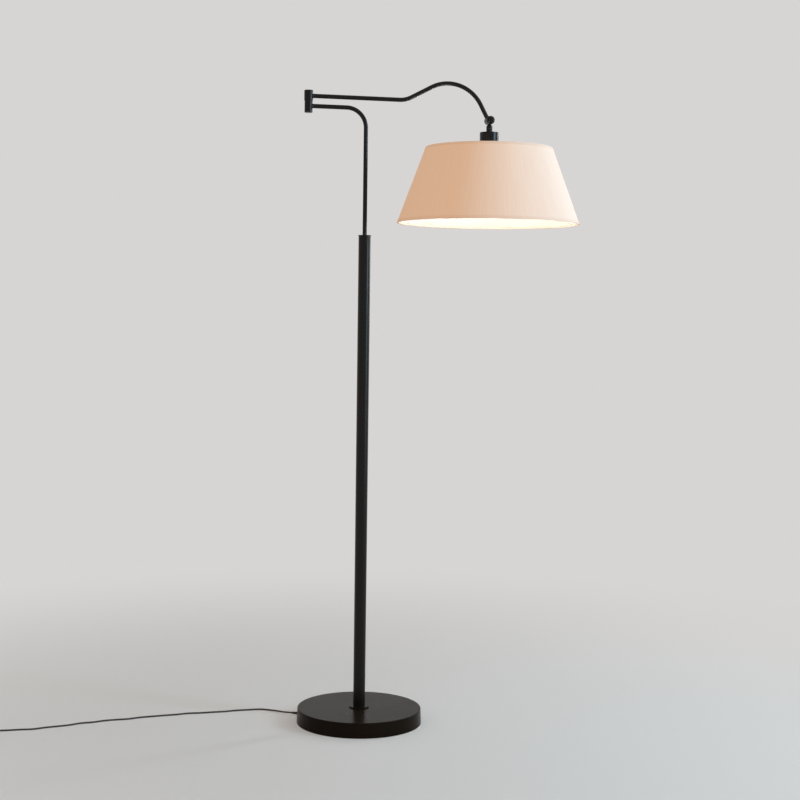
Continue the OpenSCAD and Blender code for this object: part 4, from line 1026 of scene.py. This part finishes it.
# %% Shade cover
shade_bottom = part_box("bottom_hem")[0].z
shade_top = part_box("top_hem")[1].z
shade_bottom_radius = radius_of("bottom_hem")
shade_top_radius = 0.149
shade_height = shade_top - shade_bottom
shade_slope = math.atan((shade_bottom_radius - shade_top_radius) / shade_height)
shade_length = math.hypot(shade_height, shade_bottom_radius - shade_top_radius)
cover_inset = 0.0012
hem_width = 0.007
hem_thickness = 0.00035
cover_depth = hem_thickness + seat
linen_thickness = 0.0005
liner_thickness = 0.0004
linen_depth = cover_depth + linen_thickness
liner_depth = linen_depth + liner_thickness
round_steps = 256
cone_rows = 24


def shade_point(along, depth):
    """A point of the shade's profile: distance up its slope, and depth in from its outside."""
    return Vector((
        shade_bottom_radius - along * math.sin(shade_slope) - depth * math.cos(shade_slope),
        shade_bottom + along * math.cos(shade_slope) - depth * math.sin(shade_slope),
    ))


def cone_sheet(name, inset, outside, inside, slot_name, replaced=(), turn=(0.0, 1.0), steps=round_steps):
    """A closed cone of sheet, or an upright strip of one, with a UV map in metres.

    It starts and ends an inset from the shade's two edges.
    """
    turns = turn[1] - turn[0]
    whole = turns == 1.0
    builder = bmesh.new()
    cloth = builder.loops.layers.uv.new("cloth")
    girth = 2 * math.pi * turns * (shade_bottom_radius + shade_top_radius) / 2 / steps
    angles = [2 * math.pi * (turn[0] + turns * k / steps) for k in range(steps + (not whole))]
    alongs = [inset + (shade_length - 2 * inset) * row / cone_rows for row in range(cone_rows + 1)]

    def ring(along, depth):
        radius, height = shade_point(along, depth)
        return [
            builder.verts.new((
                shade_axis.x + radius * math.cos(angle), shade_axis.y + radius * math.sin(angle), height,
            ))
            for angle in angles
        ]

    outer = [ring(along, outside) for along in alongs]
    inner = [ring(along, inside) for along in alongs]
    loop = outer + inner[::-1]
    alongs += alongs[::-1]
    for i, lower in enumerate(loop):
        above = (i + 1) % len(loop)
        upper = loop[above]
        for k in range(steps):
            after = (k + 1) % len(lower)
            face = builder.faces.new([lower[k], lower[after], upper[after], upper[k]])
            places = [(k, i), (k + 1, i), (k + 1, above), (k, above)]
            for corner, (column, row) in zip(face.loops, places):
                corner[cloth].uv = (column * girth, alongs[row])
    if not whole:
        for edge in (0, -1):
            for row in range(cone_rows):
                near, far = outer[row:row + 2], inner[row:row + 2]
                builder.faces.new([near[0][edge], near[1][edge], far[1][edge], far[0][edge]])
    return finish_piece(name, builder, "head", slot_name, replaced)


linen_cover = cone_sheet("linen_cover", cover_inset, cover_depth, linen_depth, "linen", ["shade_cover"])
cone_sheet("liner_sheet", cover_inset, linen_depth, liner_depth, "liner", ["shade_liner"])

# %% [markdown]
# The cloth is rolled once round and glued over itself at the back, so a narrow upright strip there is
# double. It is a strip of the same cone, a cloth's thickness proud of the cover.

# %% Seam lap
seam_width = 0.012
seam_steps = 6
seam_lift = 0.0004
seam_place = 0.25
seam_half = seam_width / (2 * math.pi * shade_top_radius) / 2
seam_lap = cone_sheet(
    "seam_lap", hem_width, cover_depth - seam_lift, cover_depth, "linen",
    turn=(seam_place - seam_half, seam_place + seam_half), steps=seam_steps,
)
print("seam lap:", seam_width, "wide")

# %% [markdown]
# Each edge of the shade is a wire ring with a strip of the cloth folded over it, outside and in. The
# fold is one closed profile that is spun, with soft corners where the cloth turns.

# %% Hems
wire_diameter = 0.003
hem_fold = 0.0012
hem_depth = liner_depth + wire_diameter + 2 * seat


def hem(node, start, end, edge):
    """A strip folded round the edge: outside the linen, over the wire and up the inside."""
    outside_fold = hem_depth + hem_thickness
    inside_edge = edge + math.copysign(hem_thickness, end - start)

    def at_height(depth, height, *rounding):
        along = (height - shade_point(0, depth).y) / math.cos(shade_slope)
        return (*shade_point(along, depth), *rounding)

    corners = [
        tuple(shade_point(end, 0.0)), at_height(0.0, edge, small_edge),
        at_height(outside_fold, edge, hem_fold), tuple(shade_point(end, outside_fold)),
        tuple(shade_point(end, hem_depth)), at_height(hem_depth, inside_edge, small_edge),
        at_height(hem_thickness, inside_edge), tuple(shade_point(end, hem_thickness)),
    ]
    builder = bmesh.new()
    cloth = builder.loops.layers.uv.new("cloth")
    spin(builder, round_corners(corners, 4), shade_axis, UPRIGHT, round_steps)
    for face in builder.faces:
        for corner in face.loops:
            place = corner.vert.co - shade_axis
            corner[cloth].uv = (math.atan2(place.y, place.x) * shade_bottom_radius, place.z)
    return finish_node(node, builder, finish="trim")


bottom_hem = hem("bottom_hem", 0.0, hem_width, shade_bottom)
top_hem = hem("top_hem", shade_length, shade_length - hem_width, shade_top)
print("hem depth:", round(hem_depth, 5))

# %% [markdown]
# A spider of three wires carries the shade: a flat ring that the socket's nut clamps, and three arms that
# are welded to it and to the top wire. The weld beads are small lumps, as a spot weld leaves them.

# %% Spider
ring_nut_low, ring_nut_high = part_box("ring_nut")
socket_radius = 0.017
ring_bore = socket_radius + seat
plate_radius = 0.023
plate_edge = 0.0005
arm_count = 3
weld_depth = 0.00045
weld_swell = 1.25
weld_inner_shift = 0.0004
weld_outer_shift = 0.0006
weld_shape = Matrix.Diagonal((0.7, 1.0, 0.85, 1.0))
wire_radius = wire_diameter / 2
top_wire_inset = 0.0024
top_wire = shade_point(shade_length - top_wire_inset, liner_depth + seat + wire_radius)
spider_reach = top_wire.x - wire_radius - seat
plate_middle = (ring_nut_high.z + cup_low.z) / 2
plate_corners = [
    (ring_bore, ring_nut_high.z, fine_edge), (plate_radius, ring_nut_high.z, plate_edge),
    (plate_radius, cup_low.z, plate_edge), (ring_bore, cup_low.z, fine_edge),
]
builder = bmesh.new()
spin(builder, round_corners(plate_corners), shade_axis, UPRIGHT)
for k in range(arm_count):
    angle = math.radians(90 + 360 / arm_count * k)
    outward = Vector((math.cos(angle), math.sin(angle), 0))
    arm_start = shade_axis + outward * (plate_radius - weld_depth) + Vector((0, 0, plate_middle))
    arm_end = shade_axis + outward * spider_reach + Vector((0, 0, top_wire.y))
    tube_between(builder, arm_start, arm_end, wire_radius, steps=24)
    for place in (arm_start + outward * weld_inner_shift, arm_end - outward * weld_outer_shift):
        bmesh.ops.create_icosphere(
            builder, subdivisions=3, radius=wire_radius * weld_swell,
            matrix=Matrix.Translation(place) @ Matrix.Rotation(angle, 4, "Z") @ weld_shape,
        )
finish_node("shade_spider", builder)
print("spider arms end at radius", round(spider_reach, 4))

# %% [markdown]
# The nut that clamps the spider is gripped by ribs round its rim, and so is the switch's knob. Ribs repeat
# by a rule, so one Geometry Nodes tree makes both sets: a circle of points, and one slim bar at each.


# %% Ribs round an axis
def set_ribs(tree, given):
    """The geometry of the ribs' tree: a bar at each point of a circle."""
    circle = add_node(tree, "GeometryNodeMeshCircle", {
        "Vertices": given["Count"], "Radius": given["Radius"],
    })
    rib = add_node(tree, "GeometryNodeMeshCylinder", {
        "Vertices": 10, "Radius": given["Rib radius"], "Depth": given["Rib length"],
    })
    return add_node(tree, "GeometryNodeInstanceOnPoints", {
        "Points": circle.outputs["Mesh"], "Instance": rib.outputs["Mesh"],
    }).outputs["Instances"]


rib_tree = make_tree("ribs_round_an_axis", [
    ("Count", "Int", 24), ("Radius", "Float", 0.01), ("Rib radius", "Float", 0.0006),
    ("Rib length", "Float", 0.006),
], set_ribs)


def ribs(node, centre, turn, rim_radius, rib_radius, count, length):
    """A ring of ribs on a node's rim: made round Z at the origin, then turned and placed in its mesh."""
    name = node + "_ribs"
    source = new_object(name + "_source", bpy.data.meshes.new(name + "_source"))
    made = run_tree(source, rib_tree, name, **{
        "Count": count, "Radius": rim_radius - rib_radius, "Rib radius": rib_radius, "Rib length": length,
        "Finish": finishes[slot_of[node]],
    })
    made.data.transform(Matrix.Translation(centre) @ turn)
    made.data.shade_smooth()
    made.data.set_sharp_from_angle(angle=math.radians(50))
    return settle(made, body_of[node])


print("rib tree nodes:", len(rib_tree.nodes))

# %% [markdown]
# The socket is moulded phenolic. Its skirt has a coarse round thread for the ring nut. Real threads climb,
# but at this pitch rings look the same, and they keep the socket one turned profile.

# %% Socket
socket_low, socket_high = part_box("socket_body")
cavity_radius = 0.014
mouth_rounding = 0.0005
cavity_top = 1.334
shoulder_radius = 0.0205
shoulder_top = cup_low.z + 0.003
hub_radius = 0.011
skirt_top = socket_high.z - 0.0145
spigot_hole = spigot_radius + seat
spigot_hole_bottom = 1.3665
thread_pitch = 0.0025
thread_flank = 0.35
thread_depth = 0.0005
thread_root = socket_radius - thread_depth
thread_start = socket_low.z + 0.003
thread_count = int((ring_nut_low.z - thread_start) / thread_pitch)
socket_corners = [
    (cavity_radius, socket_low.z, mouth_rounding), (thread_root, socket_low.z, soft_edge),
]
for k in range(thread_count):
    foot = thread_start + k * thread_pitch
    socket_corners += [
        (thread_root, foot), (socket_radius, foot + thread_pitch * thread_flank, fine_edge),
        (socket_radius, foot + thread_pitch * (1 - thread_flank), fine_edge),
    ]
socket_corners += [
    (thread_root, thread_start + thread_count * thread_pitch), (socket_radius, ring_nut_low.z),
    (socket_radius, cup_low.z), (shoulder_radius, cup_low.z, broken_edge),
    (shoulder_radius, shoulder_top, soft_edge), (socket_radius, shoulder_top),
    (socket_radius, skirt_top, full_edge), (hub_radius, skirt_top),
    (hub_radius, socket_high.z, soft_edge), (spigot_hole, socket_high.z),
    (spigot_hole, spigot_hole_bottom), (0, spigot_hole_bottom), (0, cavity_top),
    (cavity_radius, cavity_top),
]
turned("socket_body", socket_corners, shade_axis, sharp=50)
print("thread rings:", thread_count)

# %% [markdown]
# The ring nut is a flat ring with rounded edges, and its ribs stand a little proud of it.

# %% Ring nut
rim_radius = radius_of("ring_nut")
nut_rib_share = 0.78
nut_rib_height = 0.0006
nut_body_radius = rim_radius - nut_rib_height
nut_body_edge = 0.0007
ring_nut_corners = [
    (ring_bore, ring_nut_low.z, broken_edge), (nut_body_radius, ring_nut_low.z, nut_body_edge),
    (nut_body_radius, ring_nut_high.z, nut_body_edge), (ring_bore, ring_nut_high.z, broken_edge),
]
turned("ring_nut", ring_nut_corners, shade_axis)
nut_centre = shade_axis + Vector((0, 0, (ring_nut_low.z + ring_nut_high.z) / 2))
ribs(
    "ring_nut", nut_centre, Matrix.Identity(4), rim_radius, rib_radius=0.0009, count=40,
    length=(ring_nut_high.z - ring_nut_low.z) * nut_rib_share,
)
print("ring nut radius:", round(rim_radius, 4))

# %% [markdown]
# The rotary switch has a small knob on a shaft that comes out of the socket's side, so it is turned about
# an axis along X, and its ribs are laid over onto that axis.

# %% Switch knob
switch_low, switch_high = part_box("switch_knob")
switch_axis = Vector((0, shade_axis.y, (switch_low.z + switch_high.z) / 2))
switch_radius = (switch_high.z - switch_low.z) / 2
switch_length = 0.013
switch_start = switch_high.x - switch_length
switch_rib_height = 0.0004
switch_body_radius = switch_radius - switch_rib_height
switch_front_edge = 0.0012
shaft_radius = 0.002
switch_rib_share = 0.7
switch_rib_middle = 0.52
switch_corners = [
    (0, switch_low.x), (shaft_radius, switch_low.x), (shaft_radius, switch_start),
    (switch_body_radius, switch_start, soft_edge),
    (switch_body_radius, switch_high.x, switch_front_edge), (0, switch_high.x),
]
turned("switch_knob", switch_corners, switch_axis, LEFT_TO_RIGHT, steps=64)
switch_rib_centre = switch_axis + Vector((switch_start + switch_length * switch_rib_middle, 0, 0))
ribs(
    "switch_knob", switch_rib_centre, Matrix.Rotation(math.pi / 2, 4, "Y"), switch_radius,
    rib_radius=0.00055, count=16, length=switch_length * switch_rib_share,
)
print("switch knob radius:", round(switch_radius, 4))

# %% [markdown]
# The bulb is a common pear shape: a ball that runs tangent into a slim neck. Its profile is an arc, a
# straight and a throat, spun round the shade's axis.

# %% Bulb glass
glass_low, glass_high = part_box("bulb_glass")
bulb_radius = radius_of("bulb_glass")
bulb_slope = math.radians(20)
throat = 0.0128
flare = 0.0006
flare_below = 0.0012
flare_above = 0.001
bulb_profile = ball(40, bulb_radius, glass_low.z + bulb_radius, -math.pi / 2, bulb_slope)
neck_radius, neck_height = bulb_profile[-1]
throat_height = neck_height + (neck_radius - throat) / math.tan(bulb_slope)
bulb_profile += [
    (throat + flare, throat_height - flare_below), (throat, throat_height + flare_above),
    (throat, glass_high.z), (0, glass_high.z),
]
turned("bulb_glass", bulb_profile, shade_axis, sharp=60)
print("bulb radius:", round(bulb_radius, 4))

# %% [markdown]
# The strain relief is moulded on the cord: a tapered sleeve, with a waist that sits in the base's wall and
# grooves that let it bend evenly. It is turned about the direction in which the cord leaves.

# %% Strain relief
relief_bore = cord_radius + seat
flange_start = 0.14296
wall_inside = 0.14446
wall_outside = 0.14643
relief_radius = 0.0039
relief_waist = 0.0032
groove_count = 7
groove_pitch = 0.0024
groove_share = 0.45
groove_width = groove_pitch * groove_share
groove_depth = 0.00042
groove_edge = 0.00012
first_groove = wall_outside + 0.003


def taper_radius(distance):
    """The sleeve's radius at a distance from the pole."""
    share = (distance - wall_outside) / (relief_end - wall_outside)
    return relief_radius + (relief_tip_radius - relief_radius) * share


relief_corners = [
    (relief_bore, flange_start), (relief_radius, flange_start, broken_edge), (relief_radius, wall_inside),
    (relief_waist, wall_inside), (relief_waist, wall_outside), (relief_radius, wall_outside, small_edge),
]
for k in range(groove_count):
    start = first_groove + k * groove_pitch
    end = start + groove_width
    relief_corners += [
        (taper_radius(start), start, groove_edge), (taper_radius(start) - groove_depth, start),
        (taper_radius(end) - groove_depth, end), (taper_radius(end), end, groove_edge),
    ]
relief_corners += [(relief_tip_radius, relief_end, broken_edge), (relief_bore, relief_end)]
relief_axes = (inlet_direction, Vector((0, 0, 1)).cross(inlet_direction), Vector((0, 0, 1)))
strain_relief = turned(
    "strain_relief", relief_corners, (0, 0, inlet_height), relief_axes, steps=48, arc_steps=3,
)
print("strain relief end:", round(relief_end, 4))

# %% [markdown]
# The plug swells from a ribbed neck to a flat body with rounded edges. That is a loft: a row of rounded
# sections along the cord, each given by its distance from the back, its half width, its half thickness
# and how square it is. At 2 a section is an ellipse, and past 4 it is nearly a rectangle.

# %% Plug
section_steps = 48
plug_length = plug_back.y - plug_low.y
plug_width = (plug_high.x - plug_low.x) / 2
plug_thickness = (plug_high.z - plug_low.z) / 2
neck_half = 0.0034
neck_groove = neck_half - 0.0004
neck_lip = 0.0004
neck_ribs = 3
neck_rib_start = 0.0012
neck_rib_pitch = 0.0016
neck_rib_flank = 0.0001
neck_groove_end = 0.0007
swell_start = 0.006
swell_length = 0.009
swell_steps = 10
round_section = 2.0
square_section = 4.2


def section(builder, distance, half_width, half_thickness, squareness):
    """A ring of vertices on a superellipse across the plug, at a distance from its back."""
    centre = plug_back + Vector((0, -distance, 0))
    ring = []
    for k in range(section_steps):
        angle = 2 * math.pi * k / section_steps
        x, z = (
            math.copysign(abs(part) ** (2 / squareness), part)
            for part in (math.cos(angle), math.sin(angle))
        )
        ring.append(builder.verts.new(centre + Vector((x * half_width, 0, z * half_thickness))))
    return ring


neck_sections = [(0.0, neck_groove), (neck_lip, neck_half)]
for k in range(neck_ribs):
    start = neck_rib_start + neck_rib_pitch * k
    end = start + neck_groove_end
    neck_sections += [
        (start, neck_half), (start + neck_rib_flank, neck_groove), (end, neck_groove),
        (end + neck_rib_flank, neck_half + neck_rib_flank),
    ]
plug_sections = [(distance, half, half, round_section) for distance, half in neck_sections]
for k in range(1, swell_steps + 1):
    share = k / swell_steps
    swell = 0.5 - 0.5 * math.cos(math.pi * share)
    plug_sections.append((
        swell_start + swell_length * share, neck_half + (plug_width - neck_half) * swell,
        neck_half + (plug_thickness - neck_half) * swell,
        round_section + (square_section - round_section) * swell,
    ))
for distance, thinner, narrower, squareness in (
    (0.0185, 0.0007, 0.0006, 4.4), (0.0212, 0.0002, 0.0002, 4.6), (plug_length - 0.0022, 0, 0, 4.8),
    (plug_length - 0.001, 0.0002, 0.0002, 4.8), (plug_length - 0.0003, 0.0006, 0.0006, 4.6),
    (plug_length, 0.0013, 0.0013, 4.4),
):
    plug_sections.append((distance, plug_width - narrower, plug_thickness - thinner, squareness))
builder = bmesh.new()
rings = [section(builder, *sizes) for sizes in plug_sections]
for lower, upper in zip(rings, rings[1:]):
    add_quads(builder, lower, upper)
builder.faces.new(rings[0])
builder.faces.new(rings[-1])
plug = finish_node("plug_body", builder)
print("plug sections:", len(plug_sections))

# %% [markdown]
# The tie is a soft strap that goes once round all the turns of the coil. Two rounded loops, the strap's
# outside and its inside, are drawn at each of its edges, and quads join the four.

# %% Cord tie
tie_low, tie_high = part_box("cord_tie")
tie_angle = math.radians(235)
tie_thickness = 0.0006
tie_width = 0.009
tie_room = 0.00015
tie_outer_rounding = 0.0016
tie_inner_rounding = 0.001
tie_half = coil_pitch * layer_turns / 2 + cord_radius + tie_room
tie_outward = Vector((math.cos(tie_angle), math.sin(tie_angle), 0))
tie_along = Vector((-tie_outward.y, tie_outward.x, 0)) * tie_width / 2
tie_centre = coil_centre.to_3d() + tie_outward * coil_radius
builder = bmesh.new()
tie_rings = []
for grow, rounding in ((tie_thickness, tie_outer_rounding), (0, tie_inner_rounding)):
    half = tie_half + grow
    bottom = tie_low.z + tie_thickness - grow
    top = tie_high.z - tie_thickness + grow
    loop = round_corners([
        (-half, bottom, rounding), (half, bottom, rounding), (half, top, rounding), (-half, top, rounding),
    ], 6)
    for side in (-1, 1):
        tie_rings.append([
            builder.verts.new(tie_centre + tie_outward * out + tie_along * side + Vector((0, 0, height)))
            for out, height in loop
        ])
outer_back, outer_front, inner_back, inner_front = tie_rings
for first, second in (
    (outer_back, outer_front), (inner_back, inner_front), (outer_back, inner_back),
    (outer_front, inner_front),
):
    add_quads(builder, first, second)
cord_tie = finish_node("cord_tie", builder)
print("tie height:", round(tie_high.z - tie_low.z, 4))

# %% [markdown]
# Now that all pieces on the cord are there, it rides on the stand as one piece, in place of the
# three stretches of the CAD model.

# %% Cord takes its place
supply_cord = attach(supply_cord, "stand")
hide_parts("cord_lead", "cord_coil", "cord_tail")

# %% [markdown]
# A plain pale floor holds the shadow, and fades into the backdrop's tone with the distance, so there is
# no horizon. What the camera sees behind the lamp, directly or in its gloss, needn't be what lights it,
# so Light Path tells which rays get the plain tone.

# %% Floor
floor_size = 40.0
backdrop_colour = (0.68, 0.665, 0.655, 1.0)
fade_start = 0.3
fade_end = 2.2
plain_share_near = 0.3
builder = bmesh.new()
bmesh.ops.create_grid(builder, x_segments=8, y_segments=8, size=floor_size / 2)
floor_mesh = bpy.data.meshes.new("studio_floor")
builder.to_mesh(floor_mesh)
builder.free()
studio_floor = new_object("studio_floor", floor_mesh)


def seen_directly(tree):
    """One for camera, glossy and transmission rays, and zero for the rays that light the lamp."""
    paths = add_node(tree, "ShaderNodeLightPath").outputs
    seen = math_node(tree, "MAXIMUM", paths["Is Camera Ray"], paths["Is Glossy Ray"])
    return math_node(tree, "MAXIMUM", seen, paths["Is Transmission Ray"])


def floor_material():
    """A pale floor that fades into the backdrop's tone with the distance from the lamp."""
    material, tree, shader = new_material("pale_floor")
    feed(tree, shader, {
        "Base Color": (0.84, 0.83, 0.82, 1.0), "Roughness": 0.85, "Specular IOR Level": 0.1,
    })
    plain = add_node(tree, "ShaderNodeEmission", {"Color": backdrop_colour, "Strength": 1.0})
    place = add_node(tree, "ShaderNodeTexCoord").outputs["Object"]
    distance = add_node(tree, "ShaderNodeVectorMath", {0: place}, operation="LENGTH").outputs["Value"]
    fade = add_node(tree, "ShaderNodeMapRange", {
        "Value": distance, "From Min": fade_start, "From Max": fade_end, "To Min": plain_share_near,
    }, interpolation_type="SMOOTHSTEP")
    mix = add_node(tree, "ShaderNodeMixShader", {
        "Fac": math_node(tree, "MULTIPLY", fade.outputs["Result"], seen_directly(tree)),
        1: shader.outputs["BSDF"], 2: plain.outputs["Emission"],
    })
    feed(tree, tree.nodes["Material Output"], {"Surface": mix.outputs["Shader"]})
    return material


studio_floor.data.materials.append(floor_material())
print("floor:", floor_size, "m wide")

# %% [markdown]
# The world does the same: it shows the plain tone to the camera, and lights the lamp with a soft, warmer
# and dimmer fill.

# %% World
fill_colour = (1.0, 0.91, 0.82, 1.0)
fill_strength = 0.38
world = bpy.data.worlds.new("studio")
bpy.context.scene.world = world
world.use_nodes = True
sky = world.node_tree
sky.nodes.clear()
soft_fill = add_node(sky, "ShaderNodeBackground", {"Color": fill_colour, "Strength": fill_strength})
backdrop = add_node(sky, "ShaderNodeBackground", {"Color": backdrop_colour, "Strength": 1.0})
choose = add_node(sky, "ShaderNodeMixShader", {
    "Fac": seen_directly(sky), 1: soft_fill.outputs["Background"], 2: backdrop.outputs["Background"],
})
add_node(sky, "ShaderNodeOutputWorld", {"Surface": choose.outputs["Shader"]})
print("world nodes:", len(sky.nodes))

# %% [markdown]
# The light comes from the right, stronger high up, as from a large window. It whitens that side of the
# shade and draws a thin bright line down the pole, near its right edge, which fades toward the foot. Two
# soft lamps stand in such a window's place, and a narrow one makes the line.


# %% Lamps
def area_lamp(name, place, target, size, power, colour):
    data = bpy.data.lights.new(name, "AREA")
    data.shape = "RECTANGLE"
    data.size, data.size_y = size
    data.energy = power
    data.color = colour
    made = new_object(name, data)
    made.location = place
    made.rotation_euler = (Vector(target) - Vector(place)).to_track_quat("-Z", "Y").to_euler()
    made.visible_camera = False


window_colour = (0.5, 0.81, 1.0)
window_aim = (0.1, 0.0, 1.4)
area_lamp("window_upper", (2.23, -1.42, 1.62), window_aim, (0.5, 1.1), 31.0, window_colour)
area_lamp("window_lower", (2.23, -1.42, 0.75), (0.1, 0.0, 0.75), (0.5, 0.6), 6.0, window_colour)
area_lamp("window_edge", (2.15, 0.95, 1.65), window_aim, (0.25, 1.2), 14.0, (0.84, 0.93, 1.0))

# %% [markdown]
# Last, the view shows colours as they are.

# %% View, and the end
bpy.context.scene.view_settings.view_transform = "Standard"
